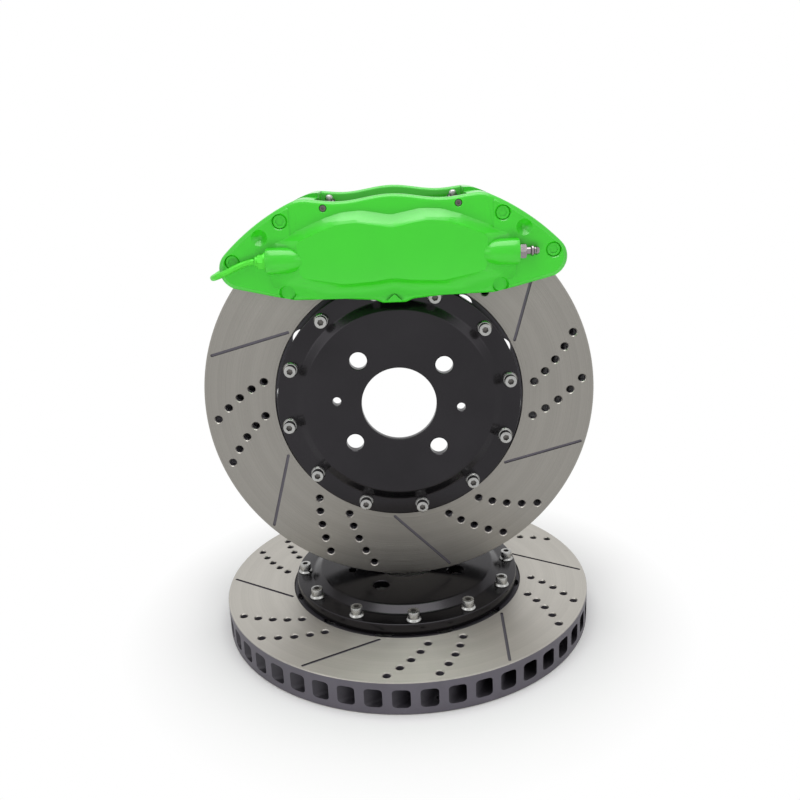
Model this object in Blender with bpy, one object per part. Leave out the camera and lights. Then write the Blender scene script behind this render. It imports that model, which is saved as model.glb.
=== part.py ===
"""Four-piston brake caliper over a vented two-piece disc that stands on its handed twin.

Metres, +Z up.  The origin is the middle of the flat disc's lower face.  The flat disc's axis is
+Z, the upright disc's axis is along Y and its outer face looks towards -Y.
"""

from math import asin, cos, pi, radians, sin, sqrt

import bmesh
import bpy
from mathutils import Matrix, Vector

# Clearances
SEAT_GAP = 0.0003
RUNNING_GAP = 0.0005
PAD_RETRACT = 0.0012
SCREW_CLEARANCE = 0.0003
OVERCUT = 0.002
MERGE_DISTANCE = 0.00001

# Friction ring
DISC_RADIUS = 0.165
DISC_THICKNESS = 0.028
CHEEK_THICKNESS = 0.0068
VANE_COUNT = 48
VANE_WIDTH = 0.0055
SWEEP_PER_METRE = radians(352)
DRILL_RADIUS = 0.0031
DRILL_INNER_MARGIN = 0.007
DRILL_RIM_MARGIN = 0.0096
DRILL_ROW_LENGTH = 5
PATTERN_REPEATS = 6
ROW_ANGLES = (radians(22.5), radians(37.5))
SLOT_WIDTH = 0.003
SLOT_DEPTH = 0.001
SLOT_RIM_MARGIN = 0.003
SLOT_BELL_MARGIN = 0.005
SLOT_FROM_SCREW = radians(17.7)

# Bell and its screws
SCREW_COUNT = 12
SCREW_CIRCLE_RADIUS = 0.094
SCREW_RADIUS = 0.003
SCREW_HEAD_RADIUS = 0.005
SCREW_HEAD_HEIGHT = 0.006
WASHER_RADIUS = 0.0064
WASHER_THICKNESS = 0.002
SCREW_TAIL = 0.0015
EAR_DEPTH = 0.010
NOTCH_RADIUS = 0.009
NOTCH_PAST_FLANGE = 0.002
RING_LEDGE = 0.003
FLANGE_RIM_WIDTH = 0.009
FLANGE_THICKNESS = 0.0097
FLANGE_INNER_WIDTH = 0.0075
HUB_RISE = 0.0155
HUB_THICKNESS = 0.007
HUB_RADIUS = 0.079
HUB_BORE_RADIUS = 0.0312
BELL_WALL = 0.007
STUD_COUNT = 4
STUD_CIRCLE_RADIUS = 0.050
STUD_HOLE_RADIUS = 0.0073
STUD_FROM_SCREW = radians(30)
JACK_HOLE_COUNT = 2
JACK_HOLE_CIRCLE_RADIUS = 0.0518
JACK_HOLE_RADIUS = 0.0036
JACK_HOLE_FROM_SCREW = radians(165)

# Places of the two discs
FLAT_DISC_CLOCK = radians(3)
FLAT_RING_SCREWS_TURNED = 1
UPRIGHT_DISC_CLOCK = radians(10)
STAND_SETBACK = 0.010

# Caliper outline, seen along the disc axis; heights are measured from the disc's rim
EDGE_RISE = 0.019
SADDLE_RISE = 0.00425
INNER_SADDLE_RISE = 0.008
SADDLE_WAVE = 0.00275
SADDLE_WAVELENGTH = 0.080
END_RADIUS = 0.016
END_ANGLE = radians(45.2)
END_SWEEP = radians(116)
TAIL_POINTS = ((0.094, -0.068), (0.078, -0.0707), (0.038, -0.071), (0.015, -0.0725))
TAB_HALF_WIDTH = 0.009
TAB_DROP = 0.0025

# Caliper depths, measured from the disc's friction face
FACE_CLEARANCE = 0.002
RIM_CLEARANCE = 0.0025
FLANGE_FACE_DEPTH = 0.030
PANEL_RISE = 0.014
EDGE_CHAMFER = 0.0025
BORE_FLOOR = 0.006

# Sculpted front panel: foot of the slope and edge of the flat, from the upper middle round to the lower middle;
# the ends are measured sideways from the bosses' flat ends
FOOT_UPPER = ((0.0, -0.009), (0.022, -0.005), (0.038, -0.006), (0.053, -0.0106))
FOOT_END = ((0.002, -0.028), (-0.003, -0.059))
FOOT_LOWER = ((0.060, -0.0685), (0.012, -0.0688), (0.0, -0.066))
EDGE_UPPER = ((0.0, -0.0176), (0.027, -0.0128), (0.040, -0.0138), (0.052, -0.018))
EDGE_END = ((-0.025, -0.026), (-0.026, -0.0535))
EDGE_LOWER = ((0.037, -0.0598), (0.014, -0.0582), (0.0, -0.0564))

# Round scallops in the foot of the lower slope
SCALLOP_OFFSET = 0.083
SCALLOP_DROP = 0.064
SCALLOP_RADIUS = 0.006
SCALLOP_DEPTH = 0.0008

# Fluid bosses, bleed screws and crossover pipe
BOSS_DROP = 0.0405
BOSS_RADIUS = 0.010
BOSS_INSET = 0.0386
BOSS_BARREL = 0.013
BOSS_NOSE = 0.018
BOSS_NOSE_WIDTH = 0.75
BOSS_SUNK = 0.0088
PORT_RADIUS = 0.003
PORT_DEPTH = 0.009
FITTING_HEX_RADIUS = 0.0046
BLEED_HEX_LENGTH = 0.005
BLEED_NECK_RADIUS = 0.002
BLEED_NECK_LENGTH = 0.0035
BLEED_NIPPLE_RADIUS = 0.0028
BLEED_NIPPLE_LENGTH = 0.0065
UNION_LENGTH = 0.0085
PIPE_RADIUS = 0.0023

# Bridge bolts, sight dimples and pad pins
BRIDGE_BOLT_RISE = 0.0105
BRIDGE_BOLT_ANGLES = (radians(29), radians(45))
BRIDGE_BOLT_RADIUS = 0.004
BRIDGE_HEAD_RADIUS = 0.0056
BRIDGE_RECESS_DEPTH = 0.006
BRIDGE_RECESS_MARGIN = 0.0006
BRIDGE_HEAD_HEIGHT = 0.005
DIMPLE_ANGLE = radians(35.5)
DIMPLE_RISE = 0.0095
DIMPLE_RADIUS = 0.0055
DIMPLE_DEPTH = 0.004
PIN_INSET = 0.0065
PIN_RISE = 0.005
PIN_RADIUS = 0.0025
PIN_END_INSET = 0.0008

# Pads
PAD_HALF_LENGTH = 0.058
PAD_SIDE_CLEARANCE = 0.0008
PLATE_THICKNESS = 0.005
PLATE_RIM_MARGIN = 0.0015
PLATE_BELL_MARGIN = 0.006
PLATE_EAR_HALF_WIDTH = 0.0065
PLATE_EAR_TOP = 0.0045
LINING_THICKNESS = 0.010
LINING_MARGIN = 0.002
LINING_END_MARGIN = 0.006

# Pistons, seals and dust boots
PISTON_RADIUS = 0.019
PISTON_OFFSET = 0.031
PISTON_DROP = 0.033
PISTON_LENGTH = 0.0195
PISTON_WALL = 0.004
PISTON_FLOOR = 0.005
SEAL_WIDTH = 0.003
SEAL_HEIGHT = 0.003
SEAL_DEPTH = 0.011
BOOT_WIDTH = 0.0035
BOOT_HEIGHT = 0.0025
BOOT_DEPTH = 0.001

# Radial mounting lugs of the inner half
LUG_OFFSET = 0.079
LUG_HALF_WIDTH = 0.013
LUG_REACH = 0.026
LUG_TOP_DROP = 0.0535
LUG_FOOT_DROP = 0.077
LUG_OVERLAP = 0.004
LUG_HOLE_RADIUS = 0.0055
LUG_HOLE_INSET = 0.0123

# Facets
VENT_RADII_STEPS = 2
BELL_STEPS = 30
DRILL_SIDES = 5
SCREW_SIDES = 6
STUD_SIDES = 8
BORE_SIDES = 10
BOSS_SIDES = 8
BOLT_SIDES = 6
WAVE_STEPS = 6
EDGE_STEPS = 4
END_STEPS = 5
NOTCH_STEPS = 3
PAD_STEPS = 5
PIPE_SAMPLES = 18
PIPE_FACETS = 1

# Derived sizes
SCREW_HOLE_RADIUS = SCREW_RADIUS + SCREW_CLEARANCE
FLANGE_RADIUS = SCREW_CIRCLE_RADIUS + FLANGE_RIM_WIDTH
EAR_INNER_RADIUS = SCREW_CIRCLE_RADIUS - EAR_DEPTH
NOTCH_REACH = FLANGE_RADIUS + NOTCH_PAST_FLANGE
RING_INNER_RADIUS = NOTCH_REACH + RING_LEDGE
DRILL_FIRST_RADIUS = RING_INNER_RADIUS + DRILL_INNER_MARGIN
DRILL_PITCH = (DISC_RADIUS - DRILL_RIM_MARGIN - DRILL_FIRST_RADIUS) / (DRILL_ROW_LENGTH - 1)
FLANGE_TOP = DISC_THICKNESS + SEAT_GAP + FLANGE_THICKNESS
HUB_TOP = DISC_THICKNESS + HUB_RISE
SCREW_TOP = FLANGE_TOP + SEAT_GAP + WASHER_THICKNESS + SCREW_HEAD_HEIGHT
HALF_DISC = DISC_THICKNESS / 2
STAND_EDGE = STAND_SETBACK + HALF_DISC
STAND_CHORD = sqrt(max(HUB_BORE_RADIUS ** 2 - STAND_EDGE ** 2, 0.0))
AXIS_HEIGHT = HUB_TOP + sqrt(DISC_RADIUS ** 2 - STAND_CHORD ** 2) + SEAT_GAP
CALIPER_RADIUS = DISC_RADIUS + EDGE_RISE
CALIPER_FACE = HALF_DISC + FLANGE_FACE_DEPTH
PANEL_FACE = CALIPER_FACE + PANEL_RISE
BORE_END = PANEL_FACE - BORE_FLOOR
PLATE_BACK = HALF_DISC + SEAT_GAP + LINING_THICKNESS + SEAT_GAP + PLATE_THICKNESS
PISTON_FACE = PLATE_BACK + SEAT_GAP
POCKET_BACK = PISTON_FACE + PAD_RETRACT + RUNNING_GAP
POCKET_HALF_LENGTH = PAD_HALF_LENGTH + PAD_SIDE_CLEARANCE
BELL_SWEEP_RADIUS = FLANGE_RADIUS + RIM_CLEARANCE
BELL_SWEEP_DEPTH = SCREW_TOP - HALF_DISC + FACE_CLEARANCE
PLATE_INNER_RADIUS = FLANGE_RADIUS + PLATE_BELL_MARGIN
PLATE_OUTER_RADIUS = DISC_RADIUS - PLATE_RIM_MARGIN
PIN_OFFSET = PAD_HALF_LENGTH - PIN_INSET
PIN_PLACE = (PIN_OFFSET, sqrt((DISC_RADIUS + PIN_RISE) ** 2 - PIN_OFFSET ** 2))
PISTON_HEIGHT = DISC_RADIUS - PISTON_DROP
CALIPER_END = (CALIPER_RADIUS - END_RADIUS) * sin(END_ANGLE) + END_RADIUS
BOSS_END = CALIPER_END - BOSS_INSET
BOSS_HEIGHT = DISC_RADIUS - BOSS_DROP
BOSS_DEPTH = PANEL_FACE - BOSS_SUNK
SHANK_RADIUS = PORT_RADIUS * cos(pi / SCREW_SIDES) - SCREW_CLEARANCE
BRIDGE_HOLE_RADIUS = BRIDGE_BOLT_RADIUS + SCREW_CLEARANCE
BRIDGE_RECESS_RADIUS = BRIDGE_HEAD_RADIUS + BRIDGE_RECESS_MARGIN
PIN_HOLE_RADIUS = PIN_RADIUS + SCREW_CLEARANCE
LUG_FOOT = DISC_RADIUS - LUG_FOOT_DROP
LUG_TOP = DISC_RADIUS - LUG_TOP_DROP

# Crossover pipe route round the caliper's left end: reach past the boss, rise above it, depth past the face
PIPE_ROUTE = ((0.015, -0.0008, 0.0045), (0.023, -0.0035, 0.0055), (0.032, -0.0075, 0.0055),
              (0.0395, -0.0105, 0.0025), (0.0445, -0.0125, -0.006), (0.0465, -0.0135, -0.020))


def polar(radius, angle):
    """Point at a radius and an angle."""
    return (radius * cos(angle), radius * sin(angle))


def finish(name, colour, roughness, metallic):
    """Material of one sub-part."""
    material = bpy.data.materials.new(name)
    material.use_nodes = True
    shader = material.node_tree.nodes["Principled BSDF"]
    shader.inputs["Base Color"].default_value = (*colour, 1.0)
    shader.inputs["Roughness"].default_value = roughness
    shader.inputs["Metallic"].default_value = metallic
    return material


def prism(outline, low, high):
    """Straight block on a flat outline, between two heights."""
    shape = bmesh.new()
    corners = [shape.verts.new((x, y, low)) for x, y in outline]
    face = shape.faces.new(corners)
    grown = bmesh.ops.extrude_face_region(shape, geom=[face])
    top = [item for item in grown["geom"] if isinstance(item, bmesh.types.BMVert)]
    bmesh.ops.translate(shape, verts=top, vec=(0, 0, high - low))
    bmesh.ops.recalc_face_normals(shape, faces=shape.faces)
    return shape


def turned(profile, steps):
    """Solid turned round the z axis from a closed outline of radius and height."""
    shape = bmesh.new()
    points = [shape.verts.new((radius, 0, height)) for radius, height in profile]
    pairs = list(zip(points, points[1:] + points[:1]))
    edges = [shape.edges.new(pair) for pair in pairs if pair[0].co.x + pair[1].co.x > 0]
    bmesh.ops.spin(shape, geom=points + edges, cent=(0, 0, 0), axis=(0, 0, 1), angle=2 * pi,
                   steps=steps, use_merge=True)
    bmesh.ops.remove_doubles(shape, verts=shape.verts, dist=MERGE_DISTANCE)
    bmesh.ops.recalc_face_normals(shape, faces=shape.faces)
    return shape


def rod(radius, low, high, sides):
    """Plain round bar along z."""
    return turned([(0, low), (radius, low), (radius, high), (0, high)], sides)


def lofted(lower, upper, low, high):
    """Block between two outlines of as many points at two heights."""
    shape = bmesh.new()
    foot = [shape.verts.new((x, y, low)) for x, y in lower]
    head = [shape.verts.new((x, y, high)) for x, y in upper]
    rims = []
    for ring in (foot, head):
        shape.faces.new(ring)
        rims += [shape.edges.get(pair) for pair in zip(ring, ring[1:] + ring[:1])]
    bmesh.ops.bridge_loops(shape, edges=rims)
    bmesh.ops.recalc_face_normals(shape, faces=shape.faces)
    return shape


def moved(shape, place=(0, 0, 0), turn=0.0, axis="Z"):
    """The shape turned about an axis and then moved."""
    bmesh.ops.transform(shape, verts=shape.verts,
                        matrix=Matrix.Translation(place) @ Matrix.Rotation(turn, 4, axis))
    return shape


def gathered(shapes):
    """Several shapes in one mesh."""
    whole = bmesh.new()
    for shape in shapes:
        mesh = bpy.data.meshes.new("gathered")
        shape.to_mesh(mesh)
        shape.free()
        whole.from_mesh(mesh)
        bpy.data.meshes.remove(mesh)
    return whole


def solid(name, shape, material=None):
    """New object that holds the shape."""
    mesh = bpy.data.meshes.new(name)
    shape.to_mesh(mesh)
    shape.free()
    item = bpy.data.objects.new(name, mesh)
    bpy.context.collection.objects.link(item)
    if material:
        mesh.materials.append(material)
        mesh.shade_smooth()
        mesh.set_sharp_from_angle(angle=radians(30))
    return item


def combine(body, tool_shape, operation="DIFFERENCE"):
    """Cut a tool's shape from a body, or weld it on."""
    tool = solid("tool", tool_shape)
    tool.hide_render = True
    tool.display_type = "WIRE"
    boolean = body.modifiers.new("combine", "BOOLEAN")
    boolean.operation = operation
    boolean.solver = "EXACT"
    boolean.object = tool
    graph = bpy.context.evaluated_depsgraph_get()
    mesh = bpy.data.meshes.new_from_object(body.evaluated_get(graph))
    body.modifiers.clear()
    body.data = mesh
    bpy.data.objects.remove(tool)


def carry(item, parent, place=(0, 0, 0), turn=0.0, axis="Z"):
    """Put an object on its parent empty."""
    item.parent = parent
    item.location = place
    rotation = Matrix.Rotation(turn, 3, axis)
    item.rotation_euler = rotation.to_euler()
    return item


def axis_empty(name, place, tilt=0.0, clock=0.0):
    """Empty whose z axis is the axis of a disc."""
    empty = bpy.data.objects.new(name, None)
    empty.location = place
    empty.rotation_euler = (Matrix.Rotation(tilt, 3, "X") @ Matrix.Rotation(clock, 3, "Z")).to_euler()
    bpy.context.collection.objects.link(empty)
    return empty


def around(shape_maker, count, first=0.0):
    """Copies of a shape turned evenly round the z axis."""
    return [moved(shape_maker(), turn=first + index * 2 * pi / count) for index in range(count)]


# Discs

def swept(radius, start, hand):
    """Angle at a radius of a line that sweeps round the disc."""
    return start + hand * SWEEP_PER_METRE * (radius - DRILL_FIRST_RADIUS)


def swept_strip(inner, outer, steps, start, hand, half_width):
    """Outline of a strip along a swept line; half_width gives its half width at a radius."""
    radii = [inner + (outer - inner) * index / steps for index in range(steps + 1)]
    sides = []
    for side in (1, -1):
        sides.append([polar(radius, swept(radius, start, hand) + side * half_width(radius) / radius)
                      for radius in radii])
    return sides[0] + sides[1][::-1]


def vent_cutters(hand, start):
    """Air channels between the vanes."""
    pitch = 2 * pi / VANE_COUNT
    inner = RING_INNER_RADIUS - RING_LEDGE / 2
    outer = DISC_RADIUS + OVERCUT

    def half_channel(radius):
        return (pitch * radius - VANE_WIDTH) / 2

    return [prism(swept_strip(inner, outer, VENT_RADII_STEPS, start + index * pitch, hand, half_channel),
                  CHEEK_THICKNESS, DISC_THICKNESS - CHEEK_THICKNESS) for index in range(VANE_COUNT)]


def drill_cutters(hand, start):
    """Cross drilling: two swept rows in each repeat of the pattern."""
    cutters = []
    for repeat in range(PATTERN_REPEATS):
        for row in ROW_ANGLES:
            row_start = start + hand * (row + repeat * 2 * pi / PATTERN_REPEATS)
            for index in range(DRILL_ROW_LENGTH):
                radius = DRILL_FIRST_RADIUS + index * DRILL_PITCH
                hole = rod(DRILL_RADIUS, -OVERCUT, DISC_THICKNESS + OVERCUT, DRILL_SIDES)
                moved(hole, place=(radius, 0, 0))
                cutters.append(moved(hole, turn=swept(radius, row_start, hand)))
    return cutters


def slot_outline(start, hand):
    """Outline of a straight slot between the ends of a swept line."""
    ends = (FLANGE_RADIUS + SLOT_BELL_MARGIN, DISC_RADIUS - SLOT_RIM_MARGIN)
    inner, outer = (Vector(polar(radius, swept(radius, start, hand))) for radius in ends)
    side = (outer - inner).normalized().orthogonal() * SLOT_WIDTH / 2
    return [inner + side, outer + side, outer - side, inner - side]


def slot_cutters(hand, start):
    """Wiping slots on both friction faces."""
    cutters = []
    for repeat in range(PATTERN_REPEATS):
        outline = slot_outline(start + hand * repeat * 2 * pi / PATTERN_REPEATS, hand)
        cutters.append(prism(outline, DISC_THICKNESS - SLOT_DEPTH, DISC_THICKNESS + OVERCUT))
        cutters.append(prism(outline, -OVERCUT, SLOT_DEPTH))
    return cutters


def notch_shape():
    """Round-ended gap between two ears of the ring."""
    centre = NOTCH_REACH - NOTCH_RADIUS
    arc = [(-pi / 2 + pi * index / NOTCH_STEPS) for index in range(NOTCH_STEPS + 1)]
    outline = [(centre + NOTCH_RADIUS * cos(angle), NOTCH_RADIUS * sin(angle)) for angle in arc]
    mouth = EAR_INNER_RADIUS - OVERCUT
    outline += [(mouth, NOTCH_RADIUS), (mouth, -NOTCH_RADIUS)]
    return prism(outline, DISC_THICKNESS - CHEEK_THICKNESS - OVERCUT, DISC_THICKNESS + OVERCUT)


def screw_hole(low, high):
    """Hole for one bell screw, at its radius."""
    return moved(rod(SCREW_HOLE_RADIUS, low, high, SCREW_SIDES), place=(SCREW_CIRCLE_RADIUS, 0, 0))


def friction_ring(name, hand, material):
    """Vented, drilled and slotted ring with ears for the bell screws."""
    ear_back = DISC_THICKNESS - CHEEK_THICKNESS
    profile = [(RING_INNER_RADIUS, 0), (DISC_RADIUS, 0), (DISC_RADIUS, DISC_THICKNESS),
               (EAR_INNER_RADIUS, DISC_THICKNESS), (EAR_INNER_RADIUS, ear_back),
               (RING_INNER_RADIUS, ear_back)]
    start = hand * SLOT_FROM_SCREW
    half_pitch = pi / VANE_COUNT
    rim_vane = swept(DISC_RADIUS, start + half_pitch, hand)
    ring = solid(name, moved(turned(profile, VANE_COUNT), turn=rim_vane), material)
    combine(ring, gathered(vent_cutters(hand, start)))
    cutters = drill_cutters(hand, start) + slot_cutters(hand, start)
    cutters += around(notch_shape, SCREW_COUNT, pi / SCREW_COUNT)
    cutters += around(lambda: screw_hole(ear_back - OVERCUT, DISC_THICKNESS + OVERCUT), SCREW_COUNT)
    combine(ring, gathered(cutters))
    return ring


def bell(name, hand, material):
    """Shallow bell with its hub plate, cone and bolting flange."""
    hub_back = HUB_TOP - HUB_THICKNESS
    flange_back = DISC_THICKNESS + SEAT_GAP
    cone_foot = SCREW_CIRCLE_RADIUS - FLANGE_INNER_WIDTH
    profile = [(HUB_BORE_RADIUS, hub_back), (HUB_RADIUS - BELL_WALL, hub_back),
               (cone_foot - BELL_WALL, flange_back), (FLANGE_RADIUS, flange_back),
               (FLANGE_RADIUS, FLANGE_TOP), (cone_foot, FLANGE_TOP), (HUB_RADIUS, HUB_TOP),
               (HUB_BORE_RADIUS, HUB_TOP)]
    body = solid(name, turned(profile, BELL_STEPS), material)
    low = flange_back - OVERCUT
    high = HUB_TOP + OVERCUT

    def stud_hole():
        return moved(rod(STUD_HOLE_RADIUS, low, high, STUD_SIDES), place=(STUD_CIRCLE_RADIUS, 0, 0))

    def jack_hole():
        return moved(rod(JACK_HOLE_RADIUS, low, high, DRILL_SIDES), place=(JACK_HOLE_CIRCLE_RADIUS, 0, 0))

    cutters = around(lambda: screw_hole(low, high), SCREW_COUNT)
    cutters += around(stud_hole, STUD_COUNT, hand * STUD_FROM_SCREW)
    cutters += around(jack_hole, JACK_HOLE_COUNT, hand * JACK_HOLE_FROM_SCREW)
    combine(body, gathered(cutters))
    return body


def bell_screw_shape():
    """Cap screw and washer as one turned piece, with its seat at height zero."""
    head_foot = WASHER_THICKNESS
    tail = FLANGE_THICKNESS + 2 * SEAT_GAP + CHEEK_THICKNESS + SCREW_TAIL
    profile = [(0, -tail), (SCREW_RADIUS, -tail), (SCREW_RADIUS, 0), (WASHER_RADIUS, 0),
               (SCREW_HEAD_RADIUS, head_foot), (SCREW_HEAD_RADIUS, head_foot + SCREW_HEAD_HEIGHT),
               (0, head_foot + SCREW_HEAD_HEIGHT)]
    return turned(profile, SCREW_SIDES)


def two_piece_disc(prefix, hand, axis, finishes, screws_turned=0):
    """Ring, bell and screws of one disc on its axis empty; the ring may sit some screws further round."""
    ring = friction_ring(prefix + "_ring", hand, finishes["ring"])
    carry(ring, axis, turn=screws_turned * 2 * pi / SCREW_COUNT)
    carry(bell(prefix + "_bell", hand, finishes["bell"]), axis)
    for index in range(SCREW_COUNT):
        angle = index * 2 * pi / SCREW_COUNT
        name = "%s_screw_%02d" % (prefix, index + 1)
        screw = solid(name, bell_screw_shape(), finishes["screw"])
        carry(screw, axis, (*polar(SCREW_CIRCLE_RADIUS, angle), FLANGE_TOP + SEAT_GAP), angle)


# Caliper, in the frame of the upright disc: x sideways, y away from the axis, z along the axis

def mirrored(right_side):
    """Closed outline from its right half, which runs from the top middle to the bottom middle."""
    left_side = [(-x, y) for x, y in right_side[::-1] if x > 0]
    return right_side + left_side


def saddle_height(x, rise):
    """Height of the wavy top edge between the two bridges."""
    wave = SADDLE_WAVE * cos(2 * pi * x / SADDLE_WAVELENGTH)
    return DISC_RADIUS + rise + wave


def saddle_end(rise):
    """Sideways place where the wavy edge meets the round edge of the bridges."""
    x = SADDLE_WAVELENGTH / 2
    while sqrt(CALIPER_RADIUS ** 2 - x ** 2) > saddle_height(x, rise) and x < SADDLE_WAVELENGTH:
        x += SADDLE_WAVELENGTH / 400
    return x


def caliper_outline(rise):
    """Outline of a caliper half; rise is the mean height of its saddle above the disc's rim."""
    meet = saddle_end(rise)
    right = [(meet * index / WAVE_STEPS, saddle_height(meet * index / WAVE_STEPS, rise))
             for index in range(WAVE_STEPS)]
    first = asin(meet / CALIPER_RADIUS)
    for index in range(EDGE_STEPS):
        angle = first + (END_ANGLE - first) * index / EDGE_STEPS
        right.append(polar(CALIPER_RADIUS, pi / 2 - angle))
    centre = polar(CALIPER_RADIUS - END_RADIUS, pi / 2 - END_ANGLE)
    for index in range(END_STEPS + 1):
        x, y = polar(END_RADIUS, pi / 2 - END_ANGLE - END_SWEEP * index / END_STEPS)
        right.append((centre[0] + x, centre[1] + y))
    right += [(x, DISC_RADIUS + drop) for x, drop in TAIL_POINTS]
    tab_top = DISC_RADIUS + TAIL_POINTS[-1][1]
    right += [(TAB_HALF_WIDTH, tab_top - TAB_DROP), (0, tab_top - TAB_DROP)]
    return mirrored(right)


def chamfered_plate(outline, low, high):
    """Block on an outline with its upper rim broken by a chamfer."""
    shape = prism(outline, low, high)
    rim = [edge for edge in shape.edges if all(abs(vert.co.z - high) < MERGE_DISTANCE for vert in edge.verts)]
    bmesh.ops.bevel(shape, geom=rim, offset=EDGE_CHAMFER, affect="EDGES", segments=1, profile=0.5, material=-1)
    return shape


def panel_outline(upper, end, lower):
    """Outline of the panel at one depth."""
    right = list(upper) + [(BOSS_END + reach, drop) for reach, drop in end] + list(lower)
    return mirrored([(x, DISC_RADIUS + drop) for x, drop in right])


def panel_shape():
    """Raised bow-tie panel of a caliper half."""
    foot = panel_outline(FOOT_UPPER, FOOT_END, FOOT_LOWER)
    edge = panel_outline(EDGE_UPPER, EDGE_END, EDGE_LOWER)
    return lofted(foot, edge, CALIPER_FACE - EDGE_CHAMFER, PANEL_FACE)


def boss_shape(side):
    """Bullet-nosed fluid boss with its flat end outwards."""
    start = BOSS_END - BOSS_BARREL - BOSS_NOSE
    shoulder = BOSS_END - BOSS_BARREL
    profile = [(0, start), (BOSS_RADIUS * BOSS_NOSE_WIDTH, start + BOSS_NOSE / 2), (BOSS_RADIUS, shoulder),
               (BOSS_RADIUS, BOSS_END), (0, BOSS_END)]
    return moved(turned(profile, BOSS_SIDES), (0, BOSS_HEIGHT, BOSS_DEPTH), side * pi / 2, "Y")


def port_shape(side):
    """Threaded port in a boss, as a plain hole."""
    hole = rod(PORT_RADIUS, BOSS_END - PORT_DEPTH, BOSS_END + OVERCUT, SCREW_SIDES)
    return moved(hole, (0, BOSS_HEIGHT, BOSS_DEPTH), side * pi / 2, "Y")


def bore_shape(side):
    """Stepped cutter of one piston bore with its boot seat and seal groove."""
    bore = PISTON_RADIUS + SEAT_GAP
    boot = [POCKET_BACK + BOOT_DEPTH - SEAT_GAP, POCKET_BACK + BOOT_DEPTH + BOOT_HEIGHT + SEAT_GAP]
    seal = [POCKET_BACK + SEAL_DEPTH - SEAT_GAP, POCKET_BACK + SEAL_DEPTH + SEAL_HEIGHT + SEAT_GAP]
    boot_radius = bore + BOOT_WIDTH + SEAT_GAP
    seal_radius = bore + SEAL_WIDTH + SEAT_GAP
    profile = [(0, POCKET_BACK - OVERCUT), (bore, POCKET_BACK - OVERCUT), (bore, boot[0]),
               (boot_radius, boot[0]), (boot_radius, boot[1]), (bore, boot[1]), (bore, seal[0]),
               (seal_radius, seal[0]), (seal_radius, seal[1]), (bore, seal[1]), (bore, BORE_END),
               (0, BORE_END)]
    return moved(turned(profile, BORE_SIDES), (side * PISTON_OFFSET, PISTON_HEIGHT, 0))


def bolt_place(side, angle, rise):
    """Point on the bridge, beside the disc's rim."""
    x, y = polar(DISC_RADIUS + rise, pi / 2 - side * angle)
    return (x, y, 0)


def half_cutters():
    """Bolt holes, dimples, scallops, pin holes, bores and ports of one half."""
    cutters = []
    for side in (1, -1):
        cutters += [bore_shape(side), port_shape(side)]
        for angle in BRIDGE_BOLT_ANGLES:
            recess = CALIPER_FACE - BRIDGE_RECESS_DEPTH
            profile = [(0, -OVERCUT), (BRIDGE_HOLE_RADIUS, -OVERCUT), (BRIDGE_HOLE_RADIUS, recess),
                       (BRIDGE_RECESS_RADIUS, recess), (BRIDGE_RECESS_RADIUS, PANEL_FACE), (0, PANEL_FACE)]
            cutters.append(moved(turned(profile, BOLT_SIDES), bolt_place(side, angle, BRIDGE_BOLT_RISE)))
        point = CALIPER_FACE - DIMPLE_DEPTH
        lip = CALIPER_FACE + OVERCUT
        widest = DIMPLE_RADIUS * (DIMPLE_DEPTH + OVERCUT) / DIMPLE_DEPTH
        dimple = turned([(0, point), (widest, lip), (0, lip)], BOLT_SIDES)
        cutters.append(moved(dimple, bolt_place(side, DIMPLE_ANGLE, DIMPLE_RISE)))
        scallop = rod(SCALLOP_RADIUS, CALIPER_FACE - SCALLOP_DEPTH, PANEL_FACE, STUD_SIDES)
        cutters.append(moved(scallop, (side * SCALLOP_OFFSET, DISC_RADIUS - SCALLOP_DROP, 0)))
        hole = rod(PIN_HOLE_RADIUS, -OVERCUT, PANEL_FACE, SCREW_SIDES)
        cutters.append(moved(hole, (side * PIN_PLACE[0], PIN_PLACE[1], 0)))
    return gathered(cutters)


def caliper_half(name, material, lugs):
    """One half of the split caliper body, looking along +z; lugs makes it the taller half with the mountings."""
    rise = INNER_SADDLE_RISE if lugs else SADDLE_RISE
    half = solid(name, chamfered_plate(caliper_outline(rise), SEAT_GAP / 2, CALIPER_FACE), material)
    combine(half, panel_shape(), "UNION")
    for side in (1, -1):
        combine(half, boss_shape(side), "UNION")
        if lugs:
            combine(half, lug_shape(side), "UNION")
    rim_sweep = rod(DISC_RADIUS + RIM_CLEARANCE, -OVERCUT, HALF_DISC + FACE_CLEARANCE, VANE_COUNT)
    combine(half, rim_sweep)
    reach = CALIPER_RADIUS + OVERCUT
    pocket = [(-POCKET_HALF_LENGTH, 0), (POCKET_HALF_LENGTH, 0), (POCKET_HALF_LENGTH, reach),
              (-POCKET_HALF_LENGTH, reach)]
    combine(half, prism(pocket, -OVERCUT, POCKET_BACK))
    combine(half, rod(BELL_SWEEP_RADIUS, -OVERCUT, BELL_SWEEP_DEPTH, VANE_COUNT))
    combine(half, half_cutters())
    if lugs:
        combine(half, gathered([lug_hole_shape(side) for side in (1, -1)]))
    return half


def lug_shape(side):
    """Block of one radial mounting lug behind the inner half."""
    centre = side * LUG_OFFSET
    outline = [(centre - LUG_HALF_WIDTH, LUG_FOOT), (centre + LUG_HALF_WIDTH, LUG_FOOT),
               (centre + LUG_HALF_WIDTH, LUG_TOP), (centre - LUG_HALF_WIDTH, LUG_TOP)]
    return prism(outline, CALIPER_FACE - LUG_OVERLAP, CALIPER_FACE + LUG_REACH)


def lug_hole_shape(side):
    """Bolt hole of a lug, drilled towards the axle."""
    hole = rod(LUG_HOLE_RADIUS, LUG_FOOT - OVERCUT, LUG_TOP + OVERCUT, STUD_SIDES)
    middle = CALIPER_FACE + LUG_REACH - LUG_HOLE_INSET
    return moved(hole, (side * LUG_OFFSET, 0, middle), -pi / 2, "X")


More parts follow.
